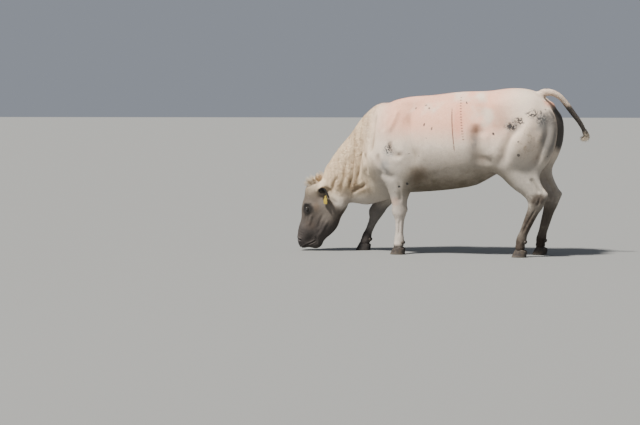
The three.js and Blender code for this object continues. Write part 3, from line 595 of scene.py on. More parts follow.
# %% Face
clay = Clay(skin, SHIFT)
clay.work(
    (10, 5, 0.1, (-1256, 74, 420), (-1236, 98, 432), (-1204, 104, 424)),
    (13, 5, 0.5, (-1188, 92, 350), (-1205, 84, 290), (-1232, 72, 220)),
    (14, -4, 0.3, (-1246, 80, 345), (-1262, 66, 280), (-1276, 58, 210)),
    (20, -10, 0.2, (-1096, 110, 520), (-1010, 92, 470), (-952, 62, 420)),
    (13, -5, 0.3, (-1088, 88, 345), (-1112, 80, 270), (-1140, 62, 200)),
    (12, 4, 0.3, (-1040, 60, 300), (-1090, 52, 210), (-1150, 40, 130)),
    (8, -4, 0.3, (-1172, 66, 140), (-1158, 64, 96), (-1160, 50, 62)),
)
clay.stroke(5, -8, 0.35, (-1170, 52, 94), (-1210, 62, 72), (-1256, 66, 52), (-1296, 54, 38),
            (-1322, 26, 30), (-1328, 0, 29), fade=0.05)
clay.work(
    (-27, (-1340, 42, 98), (22, 15, 16)),
    (7, -10, 0.5, (-1342, 58, 114), (-1322, 67, 100), (-1300, 68, 96)),
    (7, 4, 0, (-1352, 22, 112), (-1336, 34, 122), (-1318, 54, 124)),
)
clay.stroke(4, -3, 0.3, (-1352, 0, 130), (-1360, 0, 95), (-1346, 0, 50), fade=0.1)
for level, x in ((150, -1300), (172, -1290), (196, -1282)):
    clay.stroke(6, -1, 0.6, (x - 28, 20, level), (x, 48, level - 4), (x + 26, 66, level - 16))
clay.work(
    (4, (-1195, 0, 34), (40, 34, 24)),
    (-6, (-1166, 98, 432), (34, 24, 30)),
    (4, (-1290, 0, 455), (30, 44, 50)),
    (10, -5, 0.3, (-1132, 96, 610), (-1152, 108, 575), (-1140, 112, 540)),
)
clay.done(0)

# %% [markdown]
# Each socket was filled with a ball the size of the closed lids. The opening is
# an almond on that ball: points inside it are pulled in behind the eyeball, and
# points round it lie on the lids, with a rounded edge and a crease above.

# %% Eyelids
def ease(low, high, value):
    t = np.clip((value - low) / (high - low), 0, 1)
    return t * t * (3 - 2 * t)


def eye_axes(side):
    out = Vector((EYE_OUT.x, EYE_OUT.y * side, EYE_OUT.z))
    along = Vector((-0.55, 0, -0.84))
    along = (along - out * along.dot(out)).normalized()
    up = along.cross(out) if side < 0 else out.cross(along)
    return np.array(out), np.array(along), np.array(up)


HALF_OPENING = 22.5
LID_RADIUS, SOCKET_RADIUS = 24.2, 17.5
points = points_of(skin)
for side in SIDES:
    out, along, up = eye_axes(side)
    if up[2] < 0:
        up = -up
    offset = (points - EYE_AT * (1, side, 1)) / MM
    a, b, o = offset @ along, offset @ up, offset @ out
    radial = lengths(offset)
    flat = np.hypot(a, b)
    tall = np.where(b > 0, 14.5, 11)
    edge = tall * (1 - (a / HALF_OPENING) ** 2) - np.abs(b)
    inside = ease(-1.2, 1.2, np.where(np.abs(a) < HALF_OPENING, edge, -9))
    rounded_edge = 1.6 * np.exp(-((edge + 3.2) / 2.2) ** 2)
    crease = 1.8 * np.exp(-((b - 18.5 + (a / 16) ** 2 * 3) / 2.0) ** 2) * (b > 0)
    lid = LID_RADIUS + rounded_edge - crease
    wanted = lid + (SOCKET_RADIUS - lid) * inside
    share = (1 - ease(25, 42, flat)) * (o > -6) * (radial < 60)
    offset *= (1 + share * (wanted / np.maximum(radial, 1) - 1))[:, None]
    points = EYE_AT * (1, side, 1) + offset * MM
place_points(skin, points)
finish_piece(skin, "coat", *FLESH, *EARS)

# %% [markdown]
# An eyeball is not a plain ball: the clear front bulges a little. Cattle have a
# large dark eye, so a brown ring with a wide black pupil fills the lids, and a
# little bluish white shows only in the corners.

# %% Eyes
eyes = []
for side in SIDES:
    bpy.ops.object.select_all(action="DESELECT")
    out = eye_axes(side)[0]
    turn = Vector((0, 0, 1)).rotation_difference(Vector(out))
    bpy.ops.mesh.primitive_uv_sphere_add(
        segments=56, ring_count=36, radius=EYE_RADIUS - 0.4 * MM,
        location=Vector(EYE_AT * (1, side, 1)), rotation=turn.to_euler())
    bpy.ops.object.transform_apply(location=True, rotation=True, scale=False)
    ball = bpy.context.object
    points = points_of(ball)
    offset = points - EYE_AT * (1, side, 1)
    ahead = offset @ out / EYE_RADIUS
    points += out * (1.6 * MM * ease(0.72, 1.0, ahead))[:, None]
    place_points(ball, points)
    eyes.append(ball)
eyeballs = joined("eyeballs", eyes)
finish_piece(eyeballs, "eye", "eye_left", "eye_right")

# %% [markdown]
# A hoof is two claws of horn. The solid gives the outline, and a fine remesh
# rounds its corners. Rings of growth run round the wall, level with the top
# edge, and the wall is a little hollow between them. The top is drawn up into
# the foot, so that no slit shows under the hair.

# %% Claws
for name in LEGS:
    side, (upper, joint, fetlock, toe) = leg_joints(name)
    place = ("fore_" if "fore" in name else "hind_") + ("left" if side < 0 else "right")
    horns = [f"{kind}_{place}_{which}" for kind in ("claw", "dewclaw") for which in ("inner", "outer")]
    pieces = []
    for horn in horns:
        piece = copy_of(horn)
        if not horn.startswith("dew"):
            points = points_of(piece)
            on_top = normals_of(piece)[:, 2] > 0.5
            middle = points[on_top].mean(0)
            points[on_top] = middle + (points[on_top] - middle) * 0.9 + mm(5, 0, 12)
            place_points(piece, points)
        apply_modifier(piece, "REMESH", mode="VOXEL", voxel_size=2.6 * MM)
        edges = edges_of(piece)
        points = spread(points_of(piece), edges, 10)
        place_points(piece, points)
        normals = normals_of(piece)
        slant = points[:, 2] - (points[:, 0] - toe[0] * MM) * 0.30
        rings = np.sin(slant / 0.0052) * 0.5 + np.sin(slant / 0.0023 + 1.3) * 0.25
        wall = (np.abs(normals[:, 2]) < 0.75) & (points[:, 2] > 0.006)
        points += normals * (0.55 * MM * rings * wall + 0.7 * MM)[:, None]
        points[:, 2] = np.maximum(points[:, 2], 0.0)
        place_points(piece, points)
        pieces.append(piece)
    hoof = joined("hoof_" + place, pieces)
    finish_piece(hoof, "horn", *horns)

# %% [markdown]
# The ear tags are moulded plastic: a thin plate with softened edges and a round
# stud. The solid has the right shape, so a copy only gets its edges rounded.

# %% Ear tags
for word in ("left", "right"):
    tag = copy_of("ear_tag_" + word)
    tag.name = "tag_" + word
    apply_modifier(tag, "BEVEL", width=0.9 * MM, segments=2, limit_method="ANGLE")
    finish_piece(tag, "tag", "ear_tag_" + word)

# %% [markdown]
# The markings are one shader node group, used by the skin and by every coat
# piece, so that they agree. It works on the place in the object alone. The breed
# is white, with pink skin showing through on the back, a warm cream on the neck,
# and blue-black flecks in a few clusters. Mud sits on the hocks, and muzzle, ears
# and the end of the tail are dark. The group also holds painted shade: low on the
# sides, under the belly, behind the elbows, on the far foreleg and the rear, and
# in the cleft, which is also black hair. The insides of the legs get dirt and
# painted shade.

# %% Shader helpers
class Board:
    """Places shader nodes on a tree and links them."""

    def __init__(self, tree):
        self.tree = tree

    def put(self, kind, **settings):
        node = self.tree.nodes.new("ShaderNode" + kind)
        for key, value in settings.items():
            setattr(node, key, value)
        return node

    def feed(self, socket, value):
        if isinstance(value, bpy.types.NodeSocket):
            self.tree.links.new(value, socket)
        elif value is not None:
            socket.default_value = value

    def maths(self, operation, *values, clamp=False):
        node = self.put("Math", operation=operation, use_clamp=clamp)
        for socket, value in zip(node.inputs, values):
            self.feed(socket, value)
        return node.outputs[0]

    def vector(self, operation, a, b=None):
        node = self.put("VectorMath", operation=operation)
        self.feed(node.inputs[0], a)
        self.feed(node.inputs[1], b)
        return node.outputs["Value" if operation in ("LENGTH", "DOT_PRODUCT") else "Vector"]

    def apart(self, socket, kind="XYZ"):
        node = self.put("Separate" + kind)
        self.feed(node.inputs[0], socket)
        return node.outputs

    def together(self, *values):
        node = self.put("CombineXYZ")
        for socket, value in zip(node.inputs, values):
            self.feed(socket, value)
        return node.outputs[0]

    def ramp(self, value, low, high):
        node = self.put("MapRange", interpolation_type="SMOOTHSTEP")
        for name, given in (("Value", value), ("From Min", low), ("From Max", high)):
            self.feed(node.inputs[name], given)
        return node.outputs["Result"]

    def mix(self, share, a, b, blend="MIX"):
        node = self.put("Mix", data_type="RGBA", blend_type=blend)
        self.feed(node.inputs[0], share)
        self.feed(node.inputs[6], (*a, 1) if isinstance(a, tuple) else a)
        self.feed(node.inputs[7], (*b, 1) if isinstance(b, tuple) else b)
        return node.outputs[2]

    def mix_values(self, share, a, b):
        node = self.put("Mix", data_type="FLOAT")
        for socket, value in ((0, share), (2, a), (3, b)):
            self.feed(node.inputs[socket], value)
        return node.outputs[0]

    def noise(self, place, scale, detail=2.0, roughness=0.5, output="Fac"):
        node = self.put("TexNoise")
        self.feed(node.inputs["Vector"], place)
        for name, value in (("Scale", scale), ("Detail", detail), ("Roughness", roughness)):
            self.feed(node.inputs[name], value)
        return node.outputs[output]

    def times(self, *values):
        out = values[0]
        for value in values[1:]:
            out = self.maths("MULTIPLY", out, value)
        return out

    def most(self, *values):
        out = values[0]
        for value in values[1:]:
            out = self.maths("MAXIMUM", out, value)
        return out

    def ball(self, place, centre, radii, soft=0.5):
        """A soft egg-shaped mask, 1 in its middle."""
        away = self.vector("SUBTRACT", place, tuple(c * MM for c in centre))
        away = self.vector("DIVIDE", away, tuple(r * MM for r in radii))
        return self.ramp(self.vector("LENGTH", away), 1.0, 1.0 - soft)

    def lay(self, under, paint, *shares):
        """Lays a paint over what is there, by the product of its shares."""
        return self.mix(self.times(*shares), under, PAINT[paint])


def new_group(name, inputs, outputs):
    tree = bpy.data.node_groups.new(name, "ShaderNodeTree")
    for label, kind in inputs:
        tree.interface.new_socket(name=label, in_out="INPUT", socket_type="NodeSocket" + kind)
    for label, kind in outputs:
        tree.interface.new_socket(name=label, in_out="OUTPUT", socket_type="NodeSocket" + kind)
    return tree, Board(tree), tree.nodes.new("NodeGroupInput"), tree.nodes.new("NodeGroupOutput")


# %% Paints of the coat
PAINT = {
    "low_side_shade": (0.46, 0.42, 0.365), "cream_white": (0.86, 0.705, 0.57), "worn": (0.68, 0.61, 0.53),
    "pink": (0.92, 0.49, 0.34), "wound_pink": (0.88, 0.38, 0.26), "scar": (0.16, 0.07, 0.05),
    "belly_shade": (0.40, 0.35, 0.29), "belly_deep_shade": (0.125, 0.102, 0.066), "leg_dirt_and_shade": (0.24, 0.21, 0.185),
    "elbow_shade": (0.15, 0.112, 0.075), "neck_cream": (0.90, 0.72, 0.49), "neck_tan": (0.60, 0.44, 0.27),
    "throat_brown": (0.32, 0.225, 0.135), "roan": (0.27, 0.28, 0.285), "fleck": (0.030, 0.033, 0.040),
    "vent_pink": (0.80, 0.40, 0.26), "cleft": (0.040, 0.038, 0.037), "rear_roan_and_shade": (0.15, 0.15, 0.145),
    "smudge": (0.07, 0.07, 0.07), "tail_black": (0.060, 0.056, 0.054), "switch_brown": (0.30, 0.24, 0.18),
    "switch_tip": (0.70, 0.62, 0.50), "udder": (0.80, 0.52, 0.42), "mottle": (0.42, 0.31, 0.19),
    "fore_leg": (0.58, 0.52, 0.46), "hind_leg": (0.070, 0.056, 0.044), "far_leg_shade": (0.12, 0.112, 0.108),
    "pale_hair": (0.46, 0.40, 0.32), "mud": (0.038, 0.026, 0.018), "fetlock": (0.062, 0.054, 0.050),
    "hock_pale": (0.80, 0.70, 0.55), "knee_pink": (0.78, 0.50, 0.38), "far_foot": (0.05, 0.045, 0.042),
    "brow": (0.42, 0.345, 0.255), "face": (0.135, 0.112, 0.093), "nose": (0.055, 0.047, 0.044),
    "cheek": (0.21, 0.185, 0.16), "muzzle": (0.036, 0.029, 0.029), "rust": (0.125, 0.082, 0.052),
    "grizzle": (0.078, 0.056, 0.042), "poll": (0.86, 0.77, 0.60), "eye_patch": (0.016, 0.014, 0.013),
    "nostril": (0.02, 0.014, 0.013), "ear_black": (0.014, 0.013, 0.012), "ear_pale": (0.22, 0.19, 0.15),
}
print(len(PAINT), "paints")

# %% Markings: where things are
markings, m, m_in, m_out = new_group(
    "cow_markings", [("Place", "Vector")], [("Colour", "Color"), ("Bare", "Float"), ("Fleck", "Float")])
place = m_in.outputs["Place"]
x, y, z = m.apart(place)
from_middle = m.maths("ABSOLUTE", y)
both = m.together(x, from_middle, z)
ramp, ball, times, lay, mix = m.ramp, m.ball, m.times, m.lay, m.mix
most, noise, maths, vector = m.most, m.noise, m.maths, m.vector
cloud = noise(place, 3.2, 3, 0.55)
patch = noise(place, 9, 4, 0.6)
grain = noise(place, 48, 3, 0.6)
shake = noise(place, 22, 3, output="Color")
stray = vector("SCALE", vector("SUBTRACT", shake, (0.5, 0.5, 0.5)))
stray.node.inputs["Scale"].default_value = 0.05
rough_place = vector("ADD", place, stray)
rough_both = vector("ADD", both, stray)
uneven = maths("SUBTRACT", cloud, 0.5)


def raised(value, by, amount):
    """A value made uneven by a share of a noise."""
    return maths("ADD", value, times(by, amount))


# %% Markings: white and pink of the body, and painted shade low on the body
# Painted shade: the white turns grey towards the bottom of the sides.
colour = mix(ramp(raised(z, uneven, 0.5), 0.62, 1.20), PAINT["low_side_shade"], PAINT["cream_white"])
colour = lay(colour, "worn", ramp(patch, 0.42, 0.70), 0.26)
upper = times(ramp(z, 0.94, 1.18), ramp(x, -0.62, -0.30), ramp(x, 0.86, 0.50))
colour = lay(colour, "pink", upper, ramp(cloud, 0.32, 0.50), 0.92)
colour = lay(colour, "wound_pink", ball(rough_place, (262, -330, 1190), (85, 260, 230), 0.8), 0.78)
ragged = maths("ADD", z, raised(times(patch, 0.22), cloud, 0.16))
between_legs = times(ramp(x, -0.34, -0.14), ramp(x, 0.80, 0.56))
# Painted shade under the belly between the legs: grey, then darker lower down.
colour = lay(colour, "belly_shade", ramp(ragged, 1.22, 0.94), between_legs, 0.60)
colour = lay(colour, "belly_deep_shade", ramp(ragged, 1.00, 0.76), between_legs, 0.90)
# Dirt and painted shade on the insides of the legs.
inside_leg = times(ramp(from_middle, 0.185, 0.125), ramp(x, 0.50, 0.62), ramp(ragged, 1.06, 0.84))
colour = lay(colour, "leg_dirt_and_shade", inside_leg, 0.75)
# Painted shade behind the elbows.
colour = lay(colour, "elbow_shade", ball(rough_both, (-95, 300, 690), (130, 140, 170), 0.9), 0.85)
neck_share = times(ramp(x, -0.42, -0.72), ramp(z, 0.42, 0.60))
creases = noise(vector("MULTIPLY", rough_place, (24, 8, 5)), 1.0, 3, 0.6)
neck_colour = mix(ramp(creases, 0.44, 0.66), PAINT["neck_cream"], PAINT["neck_tan"])
colour = mix(times(neck_share, 0.85), colour, neck_colour)
under_neck = ball(rough_both, (-690, 60, 600), (170, 190, 120), 0.7)
colour = lay(colour, "throat_brown", under_neck, ramp(patch, 0.34, 0.60), 0.7)

# %% Markings: blue-grey roan and flecks
roan = most(*[ball(at, centre, radii, 0.9) for at, centre, radii in (
    (rough_place, (-362, -320, 925), (95, 120, 110)),
    (rough_place, (-395, -300, 800), (80, 120, 120)),
    (rough_place, (742, -335, 1140), (100, 120, 90)),
    (rough_both, (960, 262, 1180), (85, 90, 140)),
    (rough_both, (420, 350, 1010), (60, 90, 150)),
    (rough_place, (-260, 320, 1040), (120, 120, 130)),
    (rough_place, (640, 340, 1090), (120, 120, 90)),
)])
colour = lay(colour, "roan", roan, ramp(patch, 0.26, 0.56), 0.72)
clusters = most(*[ball(rough_place, centre, radii, soft) for centre, radii, soft in (
    ((728, -335, 1135), (84, 110, 54), 0.7),
    ((800, -330, 1178), (64, 110, 44), 0.7),
    ((905, -300, 1240), (76, 100, 54), 0.7),
    ((985, -258, 1190), (66, 100, 76), 0.7),
    ((-368, -320, 928), (66, 110, 70), 0.8),
    ((-250, 330, 1030), (90, 110, 80), 0.8),
    ((640, 340, 1100), (90, 110, 60), 0.8),
    ((880, 320, 1010), (60, 110, 80), 0.8),
)])
speckle = noise(rough_place, 62, 2, 0.5)
fleck = times(clusters, ramp(raised(speckle, clusters, 0.07), 0.515, 0.555))
stray_fleck = ramp(noise(place, 17, 1, 0.4), 0.755, 0.78)
single = most(*[ball(rough_place, spot, (size, 40, size * 1.2), 0.5) for spot, size in (
    ((-43, -325, 1144), 15), ((316, -255, 1333), 13), ((-275, -290, 602), 13),
    ((-207, -280, 630), 10), ((-16, -255, 1290), 9), ((569, -328, 1070), 13),
    ((120, 345, 1150), 16), ((330, 350, 900), 12), ((-420, 300, 860), 14),
)])
fleck = most(fleck, times(stray_fleck, 0.8), single)
colour = lay(colour, "fleck", fleck, 0.94)

# %% Markings: the old wound on the near flank
near_side = times(ramp(y, -0.10, -0.16), ramp(grain, 0.30, 0.46))


def line_at(foot_x, foot_z, lean, wide):
    """A line on the flank from its foot up, wide in millimetres."""
    height = maths("SUBTRACT", z, foot_z)
    away = maths("SUBTRACT", x, maths("SUBTRACT", foot_x, times(height, lean)))
    return ramp(maths("ABSOLUTE", away), wide * 2.2 * MM, wide * MM)


cut = times(line_at(0.237, 0.930, 0.113, 3.2), ramp(z, 0.90, 0.96), ramp(z, 1.31, 1.26), near_side)
dots = ramp(maths("SINE", times(z, 260)), 0.0, 0.7)
seam = times(line_at(0.315, 1.033, 0.164, 5.0), ramp(z, 0.99, 1.03), ramp(z, 1.41, 1.37))
colour = lay(colour, "scar", most(cut, times(seam, near_side, dots)), 0.85)

# %% Markings: rump, tail and udder, with painted shade in the cleft and on the rear
colour = lay(colour, "vent_pink", ball(rough_both, (1000, 110, 1330), (80, 110, 60), 0.8), 0.85)
# The cleft between the buttocks is dark with black hair and painted shade.
cleft = most(
    ball(rough_both, (1075, 0, 1090), (140, 135, 285), 0.4),
    ball(rough_place, (1065, 110, 1130), (140, 210, 270), 0.4),
)
colour = lay(colour, "cleft", cleft, ramp(x, 0.965, 1.015), 0.95)
# Grey roan and painted shade on the rear of the buttocks.
colour = lay(colour, "rear_roan_and_shade", ball(rough_both, (1045, 245, 1070), (135, 140, 320), 0.6), 0.85)
smudge = ball(rough_both, (1050, 185, 1205), (85, 110, 110), 0.9)
colour = lay(colour, "smudge", smudge, ramp(patch, 0.36, 0.50), 0.85)
low_tail = times(ramp(z, 1.34, 1.29), ramp(y, 0.03, 0.06))
colour = lay(colour, "tail_black", ramp(raised(x, grain, 0.05), 1.120, 1.180), low_tail, 0.93)
switch_share = times(ramp(x, 1.15, 1.21), ramp(z, 1.10, 1.04))
switch_colour = mix(ramp(raised(x, grain, 0.06), 1.24, 1.29), PAINT["switch_brown"], PAINT["switch_tip"])
colour = mix(times(switch_share, 0.9), colour, switch_colour)
udder_share = ball(both, (705, 46, 700), (130, 92, 80), 0.5)
colour = lay(colour, "udder", udder_share, 0.8)

# %% Markings: legs, mud and dust, with painted shade on the far foreleg
blotch = ramp(noise(place, 30, 3, 0.7), 0.50, 0.66)
colour = lay(colour, "mottle", ball(both, (870, 320, 1000), (150, 120, 190), 0.7), blotch, 0.55)
low_leg = ramp(raised(z, patch, 0.2), 0.70, 0.44)
hind = ramp(x, 0.2, 0.5)
leg_colour = mix(hind, PAINT["fore_leg"], PAINT["hind_leg"])
# Painted shade: the far foreleg is a darker grey.
leg_colour = lay(leg_colour, "far_leg_shade", ramp(x, -0.42, -0.52), ramp(y, 0.0, 0.05))
leg_colour = lay(leg_colour, "pale_hair", ramp(patch, 0.50, 0.66), hind, ramp(z, 0.15, 0.30), 0.55)
colour = mix(times(low_leg, ramp(x, -0.9, -0.85), 0.88), colour, leg_colour)
mud = most(
    ball(rough_both, (940, 225, 505), (120, 90, 80), 0.7),
    ball(rough_both, (850, 200, 300), (120, 70, 180), 0.9),
    ramp(z, 0.20, 0.13),
)
mud_here = most(ramp(patch, 0.34, 0.52), ramp(z, 0.16, 0.10))
colour = lay(colour, "mud", mud, mud_here, ramp(x, -0.5, 0.6), 0.90)
colour = lay(colour, "fetlock", ramp(raised(z, patch, 0.08), 0.15, 0.09), ramp(x, 0.2, 0.0), 0.8)
colour = lay(colour, "hock_pale", ball(rough_both, (1000, 205, 596), (34, 44, 32), 0.6), 0.85)
colour = lay(colour, "knee_pink", ball(rough_place, (-330, -250, 470), (70, 60, 70), 0.9), 0.5)
colour = lay(colour, "far_foot", ball(rough_place, (-745, 190, 70), (130, 100, 130), 0.4), 0.95)

# %% Markings: head and ears
down_head = raised(z, uneven, 0.16)
head = mix(ramp(down_head, 0.62, 0.44), PAINT["brow"], PAINT["face"])
head = lay(head, "nose", ramp(down_head, 0.42, 0.18))
head = lay(head, "cheek", ball(rough_both, (-1000, 100, 370), (130, 90, 150), 0.8), 0.45)
muzzle = ball(rough_both, (-1262, 20, 82), (84, 84, 74), 0.35)
head = lay(head, "muzzle", muzzle)
head = lay(head, "rust", ball(rough_both, (-1098, 112, 410), (40, 50, 70), 0.8), 0.5)
grizzle = ball(rough_both, (-1160, 80, 240), (90, 80, 80), 0.9)
head = lay(head, "grizzle", grizzle, ramp(patch, 0.40, 0.60), 0.5)
head = lay(head, "poll", ball(both, (-1140, 0, 668), (130, 90, 62), 0.6), 0.85)
colour = mix(ramp(raised(x, z, 0.95), -0.46, -0.56), colour, head)
colour = lay(colour, "eye_patch", ball(rough_both, (-1188, 92, 384), (84, 84, 80), 0.5), 0.96)
colour = lay(colour, "nostril", ball(both, (-1296, 40, 96), (20, 15, 15), 0.5))
ear_share = ball(both, (-1016, 168, 527), (104, 84, 82), 0.2)
from_ear = vector("SUBTRACT", rough_both, tuple(mm(-1007, 158, 524)))
into_cup = vector("DOT_PRODUCT", from_ear, (-0.39, 0.68, -0.62))
in_cup = ball(rough_both, (-1010, 158, 512), (74, 66, 52), 0.5)
ear_pale = times(ramp(into_cup, -0.030, -0.022), in_cup)
ear_colour = mix(ear_pale, PAINT["ear_black"], PAINT["ear_pale"])
colour = mix(times(ear_share, ramp(from_middle, 0.100, 0.120)), colour, ear_colour)
sun_bleach = times(maths("SUBTRACT", grain, 0.35), 0.5)
colour = mix(sun_bleach, colour, (0.95, 0.86, 0.74), blend="SOFT_LIGHT")
eyelids = ball(both, (-1188, 92, 384), (34, 34, 30), 0.4)
m.feed(m_out.inputs["Colour"], colour)
m.feed(m_out.inputs["Bare"], m.most(muzzle, times(udder_share, 0.7), eyelids))
m.feed(m_out.inputs["Fleck"], fleck)
print("markings", len(markings.nodes), "nodes")

# %% [markdown]
# Skin and coat differ in their surface. The skin carries the nap of the short
# hair as a bump, drawn out along the lie: backwards on the body, down on the
# legs. Bare skin on the muzzle is pebbled and a little wet. A hair of the coat
# is paler at its tip, and folds and grooves are darkened by painted shade. Both
# come from an attribute of the piece, named strand.

# %% Skin and coat materials
def new_material(name, **settings):
    """A material with plain settings on its shader's own sockets."""
    material = bpy.data.materials.new(name)
    material.use_nodes = True
    shader = material.node_tree.nodes["Principled BSDF"]
    for key, value in settings.items():
        shader.inputs[key.replace("_", " ")].default_value = value
    return material, Board(material.node_tree), shader


def object_place(board):
    return board.put("TexCoord").outputs["Object"]


def use_group(board, tree, **inputs):
    node = board.put("Group", node_tree=tree)
    for name, value in inputs.items():
        board.feed(node.inputs[name], value)
    return node.outputs


def bump_on(board, shader, height, strength, distance):
    bump = board.put("Bump")
    bump.inputs["Strength"].default_value = strength
    bump.inputs["Distance"].default_value = distance
    board.feed(bump.inputs["Height"], height)
    board.feed(shader.inputs["Normal"], bump.outputs["Normal"])


def strand_of(board):
    """How far up the hair, its own tone, and the painted shade of the fold it lies in."""
    return board.apart(board.put("Attribute", attribute_name="strand").outputs["Color"], "Color")


# Painted shade: a colour darkened by the depth of its fold.
def shade_in_folds(board, fold, colour):
    return board.mix(board.times(fold, 0.85), colour, (0.30, 0.25, 0.22), blend="MULTIPLY")


skin_paint, b, shader = new_material("skin_and_nap", Specular_IOR_Level=0.35)
place = object_place(b)
marks = use_group(b, markings, Place=place)
on_legs = b.ramp(b.apart(place)[2], 0.80, 0.55)
along_body = b.vector("MULTIPLY", place, (60, 420, 300))
along_leg = b.vector("MULTIPLY", place, (380, 380, 60))
nap = b.mix_values(on_legs, b.noise(along_body, 1.0, 3, 0.65), b.noise(along_leg, 1.0, 3, 0.65))
pebble = b.put("TexVoronoi", feature="DISTANCE_TO_EDGE")
b.feed(pebble.inputs["Vector"], place)
pebble.inputs["Scale"].default_value = 230
surface = b.mix_values(marks["Bare"], nap, b.ramp(pebble.outputs["Distance"], 0.0, 0.25))
bump_on(b, shader, surface, 0.55, 0.0022)
streak = b.mix(b.times(b.ramp(nap, 0.35, 0.75), 0.25), marks["Colour"], (0.34, 0.27, 0.21), blend="MULTIPLY")
b.feed(shader.inputs["Base Color"], shade_in_folds(b, strand_of(b)[2], streak))
b.feed(shader.inputs["Roughness"], b.maths("SUBTRACT", 0.78, b.times(marks["Bare"], 0.36)))
skin.data.materials.clear()
skin.data.materials.append(skin_paint)

coat_paint, b, shader = new_material(
    "coat_hair", Roughness=0.62, Specular_IOR_Level=0.3, Sheen_Weight=0.12, Sheen_Roughness=0.5)
marks = use_group(b, markings, Place=object_place(b))
up_hair, tone, fold = strand_of(b)
root_dark = b.times(b.maths("SUBTRACT", 1.0, up_hair), 0.25)
hair_colour = b.mix(root_dark, marks["Colour"], (0.42, 0.34, 0.27), blend="MULTIPLY")
hair_colour = b.mix(b.times(tone, 0.28), hair_colour, (0.72, 0.64, 0.54), blend="MULTIPLY")
b.feed(shader.inputs["Base Color"], shade_in_folds(b, fold, hair_colour))
print("skin and coat painted")

# %% [markdown]
# Horn, eye and tag. Horn is streaked from the coronet down and scuffed pale near
# the ground. The eye is drawn by the angle from its own axis. The tag is
# moulded plastic with a trace of dirt. Dust is one node group for horn and tag.

# %% Dust in patches of noise
dust, d, d_in, d_out = new_group(
    "farm_dust", [("Place", "Vector"), ("Amount", "Float")], [("Mask", "Float"), ("Rough", "Float")])
coarse = d.noise(d_in.outputs["Place"], 30, 4, 0.65)
fine = d.noise(d_in.outputs["Place"], 260, 3, 0.6)
grime = d.ramp(d.maths("ADD", d.times(coarse, 0.7), d.times(fine, 0.3)), 0.40, 0.66)
d.feed(d_out.inputs["Mask"], d.times(grime, d_in.outputs["Amount"]))
d.feed(d_out.inputs["Rough"], fine)

# %% Horn and tag
horn_paint, b, shader = new_material("claw_horn")
place = object_place(b)
dirt = use_group(b, dust, Place=place, Amount=0.5)
streaks = b.noise(b.vector("MULTIPLY", place, (260, 260, 26)), 1.0, 3, 0.6)
far_fore = b.ball(place, (-750, 190, 20), (130, 100, 120), 0.2)
horn = b.mix(b.ramp(streaks, 0.35, 0.68), (0.022, 0.018, 0.017), (0.062, 0.050, 0.043))
horn = b.mix(b.ramp(b.apart(place)[2], 0.025, 0.0), horn, (0.12, 0.10, 0.08))
horn = b.mix(dirt["Mask"], horn, (0.13, 0.098, 0.066))
horn = b.mix(b.times(far_fore, 0.8), horn, (0.022, 0.019, 0.018))
b.feed(shader.inputs["Base Color"], horn)
b.feed(shader.inputs["Roughness"], b.maths("ADD", 0.42, b.times(dirt["Rough"], 0.4)))
bump_on(b, shader, streaks, 0.5, 0.0012)

tag_paint, b, shader = new_material("tag_plastic", Coat_Weight=0.1)
dirt = use_group(b, dust, Place=object_place(b), Amount=0.6)
# Painted shade: the tag's yellow is mixed darker than the plastic's own colour.
b.feed(shader.inputs["Base Color"], b.mix(dirt["Mask"], (0.46, 0.34, 0.035), (0.26, 0.20, 0.08)))
b.feed(shader.inputs["Roughness"], b.maths("ADD", 0.34, b.times(dirt["Rough"], 0.35)))

# %% Wet eye
eye_paint, b, shader = new_material("eye_wet", Roughness=0.06, Coat_Weight=1.0, Coat_Roughness=0.02)
eye_x, eye_y, eye_z = b.apart(object_place(b))
folded = b.together(eye_x, b.maths("ABSOLUTE", eye_y), eye_z)
off = b.vector("SUBTRACT", folded, tuple(EYE_AT))
_, along, up = eye_axes(1)
wide, tall = (b.vector("DOT_PRODUCT", off, tuple(axis)) for axis in (along, up))


def round_by(tall_weight):
    """Distance from the eye's axis, with its height counted more or less."""
    return b.maths("SQRT", b.maths("ADD", b.times(wide, wide), b.times(tall, tall, tall_weight)))


fibre = b.noise(b.vector("MULTIPLY", off, (500, 500, 500)), 1.0, 3, 0.6)
iris = b.mix(fibre, (0.012, 0.007, 0.004), (0.036, 0.018, 0.009))
eye_colour = b.mix(b.ramp(round_by(1.0), 0.0150, 0.0166), iris, (0.12, 0.10, 0.10))
eye_colour = b.mix(b.ramp(round_by(3.2), 0.0118, 0.0104), eye_colour, (0.004, 0.004, 0.006))
b.feed(shader.inputs["Base Color"], eye_colour)
for piece in list(bpy.data.objects):
    for prefix, paint in (("hoof_", horn_paint), ("tag_", tag_paint), ("eyeballs", eye_paint)):
        if piece.type == "MESH" and piece.name.startswith(prefix):
            piece.data.materials.clear()
            piece.data.materials.append(paint)
print("horn, tag and eye painted")

# %% [markdown]
# The coat is thousands of small tufts with their roots in the skin. Each is a
# thin closed blade: a sunk root, one or more rings of three points, and a tip.
# Short hair needs one ring, curls and long locks need more. Each tuft has its
# patch on an unwrap of the skin, made on a lighter copy.

